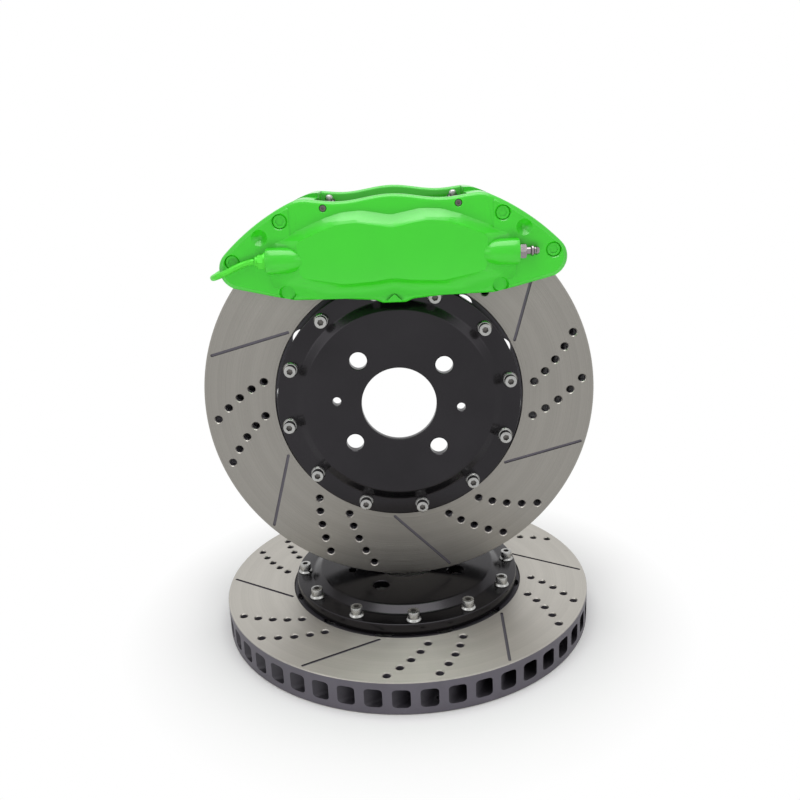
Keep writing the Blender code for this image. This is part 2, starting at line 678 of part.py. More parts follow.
def arc_points(radius, half_width, steps, forward=True):
    """Points of an arc about the axle between two sideways places."""
    reach = asin(half_width / radius)
    angles = [pi / 2 + reach - 2 * reach * index / steps for index in range(steps + 1)]
    if not forward:
        angles.reverse()
    return [polar(radius, angle) for angle in angles]


def plate_shape():
    """Pad backing plate with its two pin ears, without the pin holes."""
    ear_side = PIN_PLACE[0] - PLATE_EAR_HALF_WIDTH
    ear_top = PIN_PLACE[1] + PLATE_EAR_TOP
    outline = arc_points(PLATE_INNER_RADIUS, PAD_HALF_LENGTH, PAD_STEPS)
    outline += [(PAD_HALF_LENGTH, ear_top), (ear_side, ear_top)]
    outline += arc_points(PLATE_OUTER_RADIUS, ear_side, PAD_STEPS, forward=False)
    outline += [(-ear_side, ear_top), (-PAD_HALF_LENGTH, ear_top)]
    return prism(outline, PLATE_BACK - PLATE_THICKNESS, PLATE_BACK)


def backing_plate(name, material):
    """Pad backing plate hung on the pins."""
    plate = solid(name, plate_shape(), material)
    holes = [moved(rod(PIN_HOLE_RADIUS, HALF_DISC, PLATE_BACK + OVERCUT, SCREW_SIDES),
                   (side * PIN_PLACE[0], PIN_PLACE[1], 0)) for side in (1, -1)]
    combine(plate, gathered(holes))
    return plate


def lining_shape():
    """Friction lining in front of its plate."""
    half_length = PAD_HALF_LENGTH - LINING_END_MARGIN
    outline = arc_points(PLATE_INNER_RADIUS + LINING_MARGIN, half_length, PAD_STEPS)
    outline += arc_points(PLATE_OUTER_RADIUS - LINING_MARGIN, half_length, PAD_STEPS, forward=False)
    face = HALF_DISC + SEAT_GAP
    return prism(outline, face, face + LINING_THICKNESS)


def piston_shape():
    """Cup piston, open towards the pad, with its rim at height zero."""
    inside = PISTON_RADIUS - PISTON_WALL
    floor = PISTON_LENGTH - PISTON_FLOOR
    profile = [(inside, 0), (PISTON_RADIUS, 0), (PISTON_RADIUS, PISTON_LENGTH), (0, PISTON_LENGTH),
               (0, floor), (inside, floor)]
    return turned(profile, BORE_SIDES)


def bore_ring_shape(width, height):
    """Square ring round a piston, from height zero."""
    inside = PISTON_RADIUS + SEAT_GAP
    outside = inside + width
    return turned([(inside, 0), (outside, 0), (outside, height), (inside, height)], BORE_SIDES)


def bridge_bolt_shape():
    """Bolt and nut that clamp the halves, even about the split."""
    seat = CALIPER_FACE - BRIDGE_RECESS_DEPTH + SEAT_GAP
    head = seat + BRIDGE_HEAD_HEIGHT
    profile = [(0, -head), (BRIDGE_HEAD_RADIUS, -head), (BRIDGE_HEAD_RADIUS, -seat),
               (BRIDGE_BOLT_RADIUS, -seat), (BRIDGE_BOLT_RADIUS, seat), (BRIDGE_HEAD_RADIUS, seat),
               (BRIDGE_HEAD_RADIUS, head), (0, head)]
    return turned(profile, BOLT_SIDES)


def fitting_shape(sections):
    """Turned hexagon fitting: a shank in the port, then sections of radius and length."""
    profile = [(0, -PORT_DEPTH + OVERCUT), (SHANK_RADIUS, -PORT_DEPTH + OVERCUT), (SHANK_RADIUS, SEAT_GAP)]
    height = SEAT_GAP
    for radius, length in sections:
        profile += [(radius, height), (radius, height + length)]
        height += length
    profile.append((0, height))
    return turned(profile, SCREW_SIDES)


def pipe_points():
    """Smooth route of the crossover pipe from one union to the other."""
    start = BOSS_END + SEAT_GAP + UNION_LENGTH + SEAT_GAP
    front = [Vector((-start, BOSS_HEIGHT, BOSS_DEPTH)),
             Vector((-start - PIPE_RADIUS, BOSS_HEIGHT, BOSS_DEPTH))]
    front += [Vector((-BOSS_END - reach, BOSS_HEIGHT + rise, CALIPER_FACE + depth))
              for reach, rise, depth in PIPE_ROUTE]
    back = [Vector((point.x, point.y, -point.z)) for point in reversed(front)]
    knots = front + back
    points = []
    for index in range(PIPE_SAMPLES + 1):
        place = index * (len(knots) - 1) / PIPE_SAMPLES
        step = min(int(place), len(knots) - 2)
        before = knots[max(step - 1, 0)]
        after = knots[min(step + 2, len(knots) - 1)]
        here = knots[step]
        there = knots[step + 1]
        share = place - step
        leave = (there - before) / 2
        arrive = (after - here) / 2
        points.append(here * (2 * share ** 3 - 3 * share ** 2 + 1) + leave * (share ** 3 - 2 * share ** 2 + share)
                      + there * (3 * share ** 2 - 2 * share ** 3) + arrive * (share ** 3 - share ** 2))
    return points


def crossover_pipe(material):
    """Rigid pipe that joins the fluid of the two halves."""
    curve = bpy.data.curves.new("crossover_pipe", "CURVE")
    curve.dimensions = "3D"
    curve.bevel_depth = PIPE_RADIUS
    curve.bevel_resolution = PIPE_FACETS
    curve.use_fill_caps = True
    points = pipe_points()
    spline = curve.splines.new("POLY")
    spline.points.add(len(points) - 1)
    for knot, point in zip(spline.points, points):
        knot.co = (*point, 1.0)
    curve.materials.append(material)
    item = bpy.data.objects.new("crossover_pipe", curve)
    bpy.context.collection.objects.link(item)
    return item


def caliper(axis, finishes):
    """Every piece of the caliper on its axis empty."""
    bleed_sections = [(FITTING_HEX_RADIUS, BLEED_HEX_LENGTH), (BLEED_NECK_RADIUS, BLEED_NECK_LENGTH),
                      (BLEED_NIPPLE_RADIUS, BLEED_NIPPLE_LENGTH)]
    for side_name, flip in (("outer", 0.0), ("inner", pi)):
        front = cos(flip)
        half = caliper_half("caliper_%s_half" % side_name, finishes["body"], lugs=flip > 0)
        carry(half, axis, turn=flip, axis="Y")
        plate = backing_plate("pad_plate_%s" % side_name, finishes["plate"])
        carry(plate, axis, turn=flip, axis="Y")
        lining = solid("pad_lining_%s" % side_name, lining_shape(), finishes["lining"])
        carry(lining, axis, turn=flip, axis="Y")
        for end_name, side in (("left", -1), ("right", 1)):
            label = "%s_%s" % (side_name, end_name)
            bore = (side * PISTON_OFFSET, PISTON_HEIGHT)
            piston = solid("piston_" + label, piston_shape(), finishes["piston"])
            carry(piston, axis, (*bore, front * PISTON_FACE), flip, "Y")
            seal = solid("piston_seal_" + label, bore_ring_shape(SEAL_WIDTH, SEAL_HEIGHT), finishes["rubber"])
            carry(seal, axis, (*bore, front * (POCKET_BACK + SEAL_DEPTH)), flip, "Y")
            boot = solid("dust_boot_" + label, bore_ring_shape(BOOT_WIDTH, BOOT_HEIGHT), finishes["rubber"])
            carry(boot, axis, (*bore, front * (POCKET_BACK + BOOT_DEPTH)), flip, "Y")
        bleed = solid("bleed_screw_" + side_name, fitting_shape(bleed_sections), finishes["fitting"])
        carry(bleed, axis, (BOSS_END, BOSS_HEIGHT, front * BOSS_DEPTH), pi / 2, "Y")
        union_nut = solid("pipe_union_" + side_name, fitting_shape([(FITTING_HEX_RADIUS, UNION_LENGTH)]),
                          finishes["body"])
        carry(union_nut, axis, (-BOSS_END, BOSS_HEIGHT, front * BOSS_DEPTH), -pi / 2, "Y")
    for end_name, side in (("left", -1), ("right", 1)):
        pin_end = CALIPER_FACE - PIN_END_INSET
        pin = solid("pad_pin_" + end_name, rod(PIN_RADIUS, -pin_end, pin_end, SCREW_SIDES), finishes["fitting"])
        carry(pin, axis, (side * PIN_PLACE[0], PIN_PLACE[1], 0))
        for place_name, angle in zip(("upper", "lower"), BRIDGE_BOLT_ANGLES):
            bolt = solid("bridge_bolt_%s_%s" % (end_name, place_name), bridge_bolt_shape(), finishes["body"])
            carry(bolt, axis, bolt_place(side, angle, BRIDGE_BOLT_RISE))
    carry(crossover_pipe(finishes["body"]), axis)


def main():
    """Build the set."""
    for item in list(bpy.data.objects):
        bpy.data.objects.remove(item, do_unlink=True)
    finishes = {
        "ring": finish("machined_iron", (0.50, 0.48, 0.46), 0.38, 1.0),
        "bell": finish("black_anodised", (0.015, 0.015, 0.018), 0.25, 0.4),
        "screw": finish("zinc_steel", (0.62, 0.61, 0.58), 0.3, 1.0),
        "body": finish("green_enamel", (0.07, 0.65, 0.03), 0.25, 0.0),
        "plate": finish("black_steel_plate", (0.03, 0.03, 0.03), 0.5, 0.3),
        "lining": finish("pad_lining", (0.07, 0.065, 0.06), 0.9, 0.0),
        "piston": finish("bare_piston", (0.7, 0.7, 0.68), 0.25, 1.0),
        "rubber": finish("black_rubber", (0.02, 0.02, 0.02), 0.7, 0.0),
        "fitting": finish("bright_steel", (0.66, 0.63, 0.64), 0.25, 1.0),
    }
    flat_axis = axis_empty("flat_disc_axis", (0, 0, 0), clock=FLAT_DISC_CLOCK)
    two_piece_disc("spare", -1, flat_axis, finishes, FLAT_RING_SCREWS_TURNED)
    upright_back = HALF_DISC - STAND_SETBACK
    disc_axis = axis_empty("upright_disc_axis", (0, upright_back, AXIS_HEIGHT), pi / 2, UPRIGHT_DISC_CLOCK)
    two_piece_disc("disc", 1, disc_axis, finishes)
    caliper_axis = axis_empty("caliper_axis", (0, -STAND_SETBACK, AXIS_HEIGHT), pi / 2)
    caliper(caliper_axis, finishes)


main()
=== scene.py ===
"""Looks of a fixed brake caliper on its pair of vented discs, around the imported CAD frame.

Laid out as a Blender add-on and run as a script: each operator builds one group of pieces.
"""

from math import asin, cos, exp, log, pi, radians, sin, sqrt

import bmesh
import bpy
from bpy.props import FloatProperty, FloatVectorProperty, IntProperty, PointerProperty
from mathutils import Matrix, Vector


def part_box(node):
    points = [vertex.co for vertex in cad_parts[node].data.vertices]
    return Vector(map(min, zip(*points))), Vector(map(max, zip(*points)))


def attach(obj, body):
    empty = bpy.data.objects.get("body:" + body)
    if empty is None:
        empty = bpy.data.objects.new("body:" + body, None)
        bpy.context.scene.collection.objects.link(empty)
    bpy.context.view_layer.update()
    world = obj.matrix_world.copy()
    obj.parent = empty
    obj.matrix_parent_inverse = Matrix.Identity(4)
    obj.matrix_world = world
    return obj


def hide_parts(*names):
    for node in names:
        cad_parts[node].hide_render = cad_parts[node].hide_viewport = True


bl_info = {
    "name": "Brake caliper and discs",
    "version": (1, 0, 0),
    "blender": (4, 5, 0),
    "location": "View3D > Sidebar > Brake",
    "description": "Builds the visible caliper, discs, screws and fittings on the packed frame",
    "category": "Object",
}

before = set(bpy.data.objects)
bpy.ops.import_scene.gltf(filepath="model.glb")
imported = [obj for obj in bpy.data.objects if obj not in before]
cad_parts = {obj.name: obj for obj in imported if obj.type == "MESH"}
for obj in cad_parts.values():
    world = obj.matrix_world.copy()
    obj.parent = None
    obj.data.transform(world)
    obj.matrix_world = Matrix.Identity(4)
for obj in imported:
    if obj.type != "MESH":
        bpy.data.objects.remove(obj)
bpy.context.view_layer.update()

# Places read from the frame
DISC_LOW, DISC_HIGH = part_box("disc_ring")
AXLE = (DISC_LOW + DISC_HIGH) / 2
SPARE_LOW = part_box("spare_ring")[0]

# Fits and cutting allowances, in metres
SEAT_GAP = 0.0003
SCREW_CLEARANCE = 0.0003
BOLT_CLEARANCE = 0.00005
OVERCUT = 0.002
TINY = 0.00001

# Facets of round shapes
LARGE_STEPS = 160
RING_STEPS = 192
HOLE_STEPS = 28
SMALL_HOLE_STEPS = 20
SCREW_HOLE_STEPS = 12
SCREW_STEPS = 32
BOLT_STEPS = 36
PIN_STEPS = 24
SHANK_STEPS = 16
NIPPLE_STEPS = 14
FLOOR_STEPS = 96

# Angles that part smooth from sharp edges, and shares of z in a face's normal that choose its finish
SHARP_ANGLE = radians(32)
SQUARE_CORNER = 1.0
TRUE_FACE = 0.98
LEVEL_FACE = 0.9
SLANTED_FACE = 0.3
STEEP_FACE = 0.1

# Ring details; rounds are corner radii by the point of a profile
# The shaded slot holds a darker copy of the rim's coat: painted shade in the vents, slot walls, ear gaps and
# ledge.
FACE_SLOT, RIM_SLOT, CUT_SLOT, SHADED_SLOT = range(4)
SCREW_COUNT = 12
PATTERN_REPEATS = 6
ROW_ANGLES = (radians(22.5), radians(37.5))
ROW_LENGTH = 5
ROW_INNER_RADIUS = 0.115
ROW_OUTER_RADIUS = 0.1554
DRILL_BEVEL = 0.0007
SLOT_FROM_SCREW = radians(17.7)
SLOT_ENDS = (0.108, 0.162)
SLOT_END_ROUND = 0.45
RING_INNER_RADIUS = 0.108
RING_ROUNDS = {0: 0.0008, 1: 0.0005, 2: 0.0005, 3: 0.0006, 5: 0.0004}
EAR_INNER_RADIUS = 0.084
LEDGE_RADIUS = 0.1046
LEDGE_DEPTH = 0.0012
NOTCH_RADIUS = 0.009
NOTCH_REACH = 0.1040
NOTCH_STEPS = 14
VENT_ROUND = 0.0026
VENT_STEPS = 6

# Bell and bell screw details
SCREW_CIRCLE = 0.094
SCREW_RADIUS = 0.003
SCREW_TAIL = 0.0015
SCREW_ROUNDS = {1: 0.0006, 4: 0.0002, 7: 0.0007}
SCREW_KEY_RADIUS = 0.0027
SCREW_KEY_DEPTH = 0.0026
WASHER_THICKNESS = 0.002
WASHER_LIP = 0.0005
WASHER_COLLAR = 0.0003
WASHER_STEP = 0.0001
FLANGE_RADIUS = 0.1016
FLANGE_TOP = 0.038
HUB_TOP = 0.0435
HUB_BACK = 0.0365
HUB_RADIUS = 0.079
HUB_BACK_RADIUS = 0.072
CONE_BACK_RADIUS = 0.0795
CONE_FOOT_RADIUS = 0.0865
BELL_ROUNDS = {0: 0.0008, 1: 0.002, 2: 0.001, 3: 0.0005, 4: 0.0009, 5: 0.0014, 6: 0.0012, 7: 0.0009}
BORE_RADIUS = 0.0312
STUD_CIRCLE = 0.050
STUD_RADIUS = 0.0073
STUD_BEVEL = 0.0007
STUD_COUNT = 4
STUD_ANGLE = radians(30)
JACK_CIRCLE = 0.0518
JACK_RADIUS = 0.0036
JACK_BEVEL = 0.0005
JACK_COUNT = 2
JACK_ANGLE = radians(165)

# Caliper body: depths from the split, and outlines about the axle
FLANGE_FACE = 0.044
PANEL_FACE = 0.058
OUTER_SADDLE = 0.1684
INNER_SADDLE = 0.1722
SADDLE_WAVE = 0.0021
SADDLE_PITCH = 0.080
SADDLE_STEPS = 42
SHOULDER = 0.0016
BRIDGE_MEET = 0.098
WING_RISE = 0.0012
WING_RAMP = (0.072, 0.078)
EDGE_RADIUS = 0.184
END_RADIUS = 0.016
END_ANGLE = radians(45.2)
END_SWEEP = radians(116)
END_STEPS = 12
TAIL = ((0.094, 0.0958), (0.078, 0.0924), (0.038, 0.0918), (0.015, 0.0900), (0.009, 0.0875), (0.0, 0.0875))
FOOT = ((0.0, 0.157), (0.022, 0.161), (0.038, 0.160), (0.053, 0.1556), (0.0986, 0.137), (0.0936, 0.1045),
        (0.060, 0.0940), (0.012, 0.0935), (0.0, 0.0965))
CREST = ((0.0, 0.1457), (0.027, 0.1505), (0.040, 0.1495), (0.052, 0.1455), (0.0716, 0.1378), (0.0706, 0.1125),
         (0.037, 0.1064), (0.014, 0.1080), (0.0, 0.1098))
NUB = ((-0.0065, 0.0892), (0.0065, 0.0892), (0.0, 0.0952))
NUB_RISE = 0.003
NUB_CORNER = 0.0008
LIP_RISE = 0.008
LIP_TOP = 0.118
LIP_FADE = 0.016
PANEL_SINK = 0.0012
PANEL_ROOT = 0.003
PANEL_CORNER = 0.0028
PANEL_REACH = (0.0716, 0.1285, 0.022)
PANEL_END_DROP = 0.0035
PANEL_EDGE_DROP = 0.0012
COVE_SHARE = 0.55
COVE_POWER = 2.2
SLOPE_CUTS = 7
DOME_CUTS = (8, 4)
POCKET_BACK = 0.0316
POCKET_HALF_LENGTH = 0.0588
POCKET_ROUND = 0.0024
WINDOW_REACH = 1.2
RIM_ROOM_RADIUS = 0.1675
RIM_ROOM_DEPTH = 0.016
BELL_ROOM_RADIUS = FLANGE_RADIUS + 0.0025
BELL_ROOM_DEPTH = 0.0343
BOSS_PLACE = (0.09661, 0.1245, 0.0492)
BOSS_LENGTH = 0.013
BOSS_STEPS = 40
BOSS_EDGE = 0.0008
NOSE_LENGTH = 0.018
NOSE_POWER = 1.1
NOSE_STEPS = 9
PORT_RADIUS = 0.003
PORT_DEPTH = 0.009
PORT_BEVEL = 0.0003

# Holes and lugs of the caliper body; profiles are radius and height above the face
DIMPLE_ANGLE = radians(35.5)
DIMPLE_CIRCLE = 0.1745
DIMPLE = ((0, -0.005), (0.0016, -0.0046), (0.0062, 0.0), (0.0085, OVERCUT), (0, OVERCUT))
SCALLOP_PLACE = (0.083, 0.0985)
SCALLOP = ((0, -0.004), (0.0052, -0.004), (0.0064, -0.0026), (0.0068, 0.014), (0, 0.014))
PISTON_PLACE = (0.031, 0.132)
PISTON_BORE = 0.0193
PISTON_BORE_END = 0.052
PISTON_BORE_STEPS = 48
BOOT_SEAT = (0.0231, 0.0323, 0.0354)
SEAL_GROOVE = (0.0226, 0.0423, 0.0459)
LUG_PLACE = (0.079, 0.088, 0.1115)
LUG_HALF_WIDTH = 0.013
LUG_OVERLAP = 0.004
LUG_REACH = 0.026
LUG_ROUND = 0.0025
LUG_HOLE_RADIUS = 0.0055
LUG_HOLE_DEPTH = 0.0137
LUG_HOLE_STEPS = 27

# Bolts, pins, clips and fluid fittings; fitting profiles start at the boss's end
BOLT_ANGLES = (radians(29), radians(45))
BOLT_CIRCLE = 0.1755
BOLT_SEAT = 0.038
BOLT_INSET = 0.0006
BOLT_SHANK = 0.004
BOLT_HOLE = 0.0043
BOLT_MOUTH = 0.0008
BOLT_ROUNDS = {1: 0.0012, 6: 0.0011}
BOLT_KEY_RADIUS = 0.0034
BOLT_KEY_DEPTH = 0.0009
PIN_PLACE = (0.0515, sqrt(0.170 ** 2 - 0.0515 ** 2))
PIN_INSET = 0.0008
PIN_ROUNDS = {1: 0.0005, 2: 0.0005}
PIN_BORE = 0.0012
PIN_MOUTH = 0.0004
CLIP_BACK = -0.0238
CLIP_COLLAR = (0.0042, -0.0206)
CLIP_ROUNDS = {1: 0.0006, 2: 0.0006}
KNOB = ((0, CLIP_BACK), (0.0033, CLIP_BACK), (0.0033, -0.0205), (0.0022, -0.0192), (0, -0.0187))
KNOB_ROUNDS = {1: 0.0006, 2: 0.0008}
KNOB_RISE = 0.0038
CLIP_HOLE = (-0.030, -0.015)
HEXAGON_BEVEL = 0.6
BLEED_HEXAGON = (SEAT_GAP, 0.0053)
BLEED = ((0, -0.007), (0.0022, -0.007), (0.0022, 0.001), (0.0030, 0.001), (0.0030, 0.0084),
         (0.0041, 0.0094), (0.0041, 0.0106), (0.0029, 0.0117), (0.0029, 0.0124), (0.0036, 0.0132),
         (0.0024, 0.0153), (0, 0.0153))
BLEED_BORE = (0.0010, 0.0120, 0.0170)
UNION_HEXAGON = (0.0012, 0.0064)
UNION = ((0, -0.007), (0.0022, -0.007), (0.0022, SEAT_GAP), (0.0066, SEAT_GAP), (0.0066, 0.0020),
         (0.0040, 0.0022), (0.0042, 0.0060), (0.0042, 0.0080), (0.0034, 0.0090), (0, 0.0090))
PIPE_ROUTE = ((-0.1060, 0.1245, 0.0492), (-0.1080, 0.1245, 0.0492), (-0.1116, 0.1237, 0.0485),
              (-0.1196, 0.1210, 0.0495), (-0.1286, 0.1170, 0.0495), (-0.1361, 0.1140, 0.0465),
              (-0.1411, 0.1120, 0.0380), (-0.1431, 0.1110, 0.0240))
PIPE_FACETS = 5
PIPE_STEPS = 7

# Pads
PAD_OUTER_RADIUS = 0.1615
PAD_STEPS = 24
PLATE_INNER_RADIUS = 0.109
PLATE_HALF_LENGTH = 0.058
PLATE_DEPTHS = (0.0246, 0.0296)
PLATE_BEVEL = 0.0004
PLATE_TOP_STEPS = 20
EAR_RADIUS = 0.0048
EAR_SHOULDER = 0.006
EAR_STEPS = 10
EAR_HOLE = (0.014, 0.032)
LINING_INNER_RADIUS = 0.111
LINING_HALF_LENGTH = 0.052
LINING_DEPTHS = (0.0143, 0.0243)
LINING_BEVEL = 0.0008
GROOVE = (0.0012, 0.100, 0.175)
GROOVE_DEPTHS = (0.0123, 0.0183)

# Stage
WHITE = (1, 1, 1, 1)
FLOOR_COLOUR = (0.93, 0.93, 0.93, 1.0)
FLOOR_RADIUS = 3.0
FLOOR_FADE = (0.163, 0.26)
LAMP_TARGET = (0, 0, 0.2)
KEY_PLACE = (0, -0.1, 1.3)
KEY_SIZE = 1.0
FILL_PLACE = (0.95, -0.85, 0.75)
FILL_SIZE = 0.6
RIGHT_SHARE = 0.6
LOW_PLACE = (0, -0.53, 0.05)
LOW_TARGET = (0, -0.36, 0.6)
LOW_HEIGHT = 0.3
LOW_WIDTH = 0.7
SENSOR_WIDTH = 36.0
FOCAL_SHARE = 818.0 / 800.0
CAMERA_PLACE = (0.006015, -0.689275, 0.407251)
CAMERA_PAN = radians(0.46)
CAMERA_DIP = radians(16.78)
CAMERA_ROLL = radians(-2.45)

# Frames of the upright disc, the flat disc and the caliper: z runs along the axle, out of the wheel side
UPRIGHT = Matrix.Rotation(pi / 2, 4, "X")
DISC_FRAME = Matrix.Translation((0, DISC_HIGH.y, AXLE.z)) @ UPRIGHT @ Matrix.Rotation(radians(10), 4, "Z")
SPARE_FRAME = Matrix.Rotation(radians(3), 4, "Z") @ Matrix.Scale(-1, 4, (0, 1, 0))
SPARE_RING_FRAME = Matrix.Rotation(radians(30), 4, "Z") @ SPARE_FRAME
CALIPER_FRAME = Matrix.Translation(AXLE) @ UPRIGHT
SIDES = {"outer": CALIPER_FRAME, "inner": CALIPER_FRAME @ Matrix.Rotation(pi, 4, "Y")}

# Each disc: its name, body, ring's frame, bell's frame, and whether it lies flat
DISCS = (("disc", "disc", DISC_FRAME, DISC_FRAME, False),
         ("spare", "spare_disc", SPARE_RING_FRAME, SPARE_FRAME, True))


class DiscSizes(bpy.types.PropertyGroup):
    """Sizes of the two discs."""

    radius: FloatProperty(name="Radius", description="Outer radius of the rings", default=0.165,
                          unit="LENGTH")
    thickness: FloatProperty(name="Thickness", description="Thickness of the rings", default=0.028,
                             unit="LENGTH")
    cheek: FloatProperty(name="Cheek", description="Thickness of each friction cheek", default=0.0062,
                         unit="LENGTH")
    vanes: IntProperty(name="Vanes", description="Number of vanes between the cheeks", default=48, min=12)
    vane_inner: FloatProperty(name="Vane at the bell", description="Vane width at the inner edge",
                              default=0.0055, unit="LENGTH")
    vane_outer: FloatProperty(name="Vane at the rim", description="Vane width at the rim", default=0.0074,
                              unit="LENGTH")
    sweep: FloatProperty(name="Sweep", description="Turn of vanes, rows and slots for each metre of radius",
                         default=radians(352), subtype="ANGLE")
    drill: FloatProperty(name="Drilling", description="Radius of the cross drilling", default=0.0031,
                         unit="LENGTH")
    slot_width: FloatProperty(name="Slot width", description="Width of the wiping slots", default=0.0025,
                              unit="LENGTH")
    slot_depth: FloatProperty(name="Slot depth", description="Depth of the wiping slots", default=0.001,
                              unit="LENGTH")
    head_radius: FloatProperty(name="Screw head", description="Radius of the bell screws' heads",
                               default=0.005, unit="LENGTH")
    head_height: FloatProperty(name="Head height", description="Height of the bell screws' heads",
                               default=0.006, unit="LENGTH")
    washer: FloatProperty(name="Washer", description="Radius of the flared washers", default=0.0064,
                          unit="LENGTH")


class CaliperSizes(bpy.types.PropertyGroup):
    """Sizes of the caliper and its fittings."""

    edge_round: FloatProperty(name="Edge round", description="Rounding of the body's front rim",
                              default=0.0034, unit="LENGTH")
    crest_round: FloatProperty(name="Crest round", description="Rounding of the panel's edge", default=0.0008,
                               unit="LENGTH")
    boss_radius: FloatProperty(name="Boss", description="Radius of the fluid bosses", default=0.010,
                               unit="LENGTH")
    bolt_head: FloatProperty(name="Bolt head", description="Radius of the bridge bolts' heads",
                             default=0.0056, unit="LENGTH")
    pin: FloatProperty(name="Pad pin", description="Radius of the pad pins", default=0.0025, unit="LENGTH")
    pipe: FloatProperty(name="Pipe", description="Radius of the crossover pipe", default=0.0023,
                        unit="LENGTH")
    hexagon: FloatProperty(name="Hexagon", description="Corner radius of the fittings' hexagons",
                           default=0.0060, unit="LENGTH")


class FinishColours(bpy.types.PropertyGroup):
    """Colours of the finishes."""

    enamel: FloatVectorProperty(name="Enamel", description="Colour of the caliper's enamel", subtype="COLOR",
                                default=(0.030, 0.56, 0.010))
    friction: FloatVectorProperty(name="Friction face", description="Colour of the turned iron faces",
                                  subtype="COLOR", default=(0.43, 0.412, 0.378))
    casting: FloatVectorProperty(name="Casting", description="Colour of the coated rim and vanes",
                                 subtype="COLOR", default=(0.105, 0.097, 0.117))
    bell: FloatVectorProperty(name="Bell", description="Colour of the anodised bells", subtype="COLOR",
                              default=(0.026, 0.0245, 0.027))
    screw: FloatVectorProperty(name="Screws", description="Colour of the plated screws", subtype="COLOR",
                               default=(0.43, 0.43, 0.42))
    fitting: FloatVectorProperty(name="Fittings", description="Colour of the bleed screws and pins",
                                 subtype="COLOR", default=(0.32, 0.29, 0.30))


class StageLight(bpy.types.PropertyGroup):
    """Strengths of the studio light."""

    ambient: FloatProperty(name="Ambient", description="Strength of the white surroundings", default=0.40,
                           subtype="FACTOR")
    key: FloatProperty(name="Key", description="Power of the large lamp above", default=10.4, unit="POWER")
    fill: FloatProperty(name="Fill", description="Power of the lamp at the left", default=1.5, unit="POWER")
    low: FloatProperty(name="Low", description="Power of the low lamp in front", default=1.9, unit="POWER")


# Shapes

def polar(radius, angle):
    """Point at a radius and an angle."""
    return (radius * cos(angle), radius * sin(angle))


def six_sided(radius):
    """Outline of a hexagon."""
    return [polar(radius, index * pi / 3) for index in range(6)]


def rectangle(left, right, low, high):
    """Outline of a rectangle."""
    return [(left, low), (right, low), (right, high), (left, high)]


def painted(shape, slot):
    """The shape with all its faces in one material slot."""
    for face in shape.faces:
        face.material_index = slot
    return shape


def climb(edge):
    """Height between the ends of an edge."""
    return abs(edge.verts[0].co.z - edge.verts[1].co.z)


def at_height(parts, height):
    """The edges or faces that lie wholly at one height."""
    return [part for part in parts if all(abs(vert.co.z - height) < TINY for vert in part.verts)]


def rounded(shape, edges, width, segments=1):
    """The shape with some of its edges bevelled or rounded."""
    bmesh.ops.bevel(shape, geom=edges, offset=width, affect="EDGES", segments=segments, profile=0.5,
                    material=-1)
    return shape


def sliced(shape, place, normal):
    """The shape with new edges where a plane meets it."""
    whole = shape.verts[:] + shape.edges[:] + shape.faces[:]
    bmesh.ops.bisect_plane(shape, geom=whole, dist=TINY, plane_co=place, plane_no=normal)
    return shape


def extruded(shape, faces):
    """New vertices of faces that are extruded in place."""
    grown = bmesh.ops.extrude_face_region(shape, geom=faces)
    return [item for item in grown["geom"] if isinstance(item, bmesh.types.BMVert)]


def outlined(outline, height=0.0, corner=0.0):
    """Flat face on an outline, with its corners rounded."""
    shape = bmesh.new()
    shape.faces.new([shape.verts.new((x, y, height)) for x, y in outline])
    if corner:
        bmesh.ops.bevel(shape, geom=shape.verts[:], offset=corner, affect="VERTICES", segments=3, profile=0.5,
                        material=-1, clamp_overlap=True)
    return shape


def prism(outline, low, high, corner=0.0):
    """Straight block on an outline, between two heights."""
    shape = outlined(outline, low, corner)
    top = extruded(shape, shape.faces[:])
    bmesh.ops.translate(shape, verts=top, vec=(0, 0, high - low))
    bmesh.ops.recalc_face_normals(shape, faces=shape.faces)
    return shape


def turned(profile, steps, rounds=None, segments=3):
    """Solid turned round z from an outline of radius and height; rounds gives corner radii by index."""
    shape = bmesh.new()
    corners = [shape.verts.new((radius, 0, height)) for radius, height in profile]
    shape.faces.new(corners)
    for index, radius in (rounds or {}).items():
        bmesh.ops.bevel(shape, geom=[corners[index]], offset=radius, affect="VERTICES", segments=segments,
                        profile=0.5, material=-1)
    bmesh.ops.delete(shape, geom=shape.faces[:], context="FACES_ONLY")
    on_axis = [edge for edge in shape.edges if all(vert.co.x < TINY for vert in edge.verts)]
    bmesh.ops.delete(shape, geom=on_axis, context="EDGES")
    bmesh.ops.spin(shape, geom=shape.verts[:] + shape.edges[:], cent=(0, 0, 0), axis=(0, 0, 1), angle=2 * pi,
                   steps=steps, use_merge=True)
    bmesh.ops.remove_doubles(shape, verts=shape.verts, dist=TINY)
    bmesh.ops.recalc_face_normals(shape, faces=shape.faces)
    return shape


def rod(radius, low, high, sides):
    """Plain round bar along z."""
    return turned([(0, low), (radius, low), (radius, high), (0, high)], sides)


def flared_hole(radius, low, high, bevel, steps=HOLE_STEPS):
    """Cutter of a hole up to a face, with a bevelled mouth there."""
    mouth = radius + bevel + OVERCUT
    profile = [(0, low), (radius, low), (radius, high - bevel), (mouth, high + OVERCUT), (0, high + OVERCUT)]
    return turned(profile, steps)


def moved(shape, place=(0, 0, 0), turn=0.0, axis="Z"):
    """The shape turned about an axis and then moved."""
    matrix = Matrix.Translation(place) @ Matrix.Rotation(turn, 4, axis)
    bmesh.ops.transform(shape, verts=shape.verts, matrix=matrix)
    return shape


def gathered(shapes):
    """Several shapes in one mesh."""
    whole = bmesh.new()
    for shape in shapes:
        mesh = bpy.data.meshes.new("gathered")
        shape.to_mesh(mesh)
        shape.free()
        whole.from_mesh(mesh)
        bpy.data.meshes.remove(mesh)
    return whole


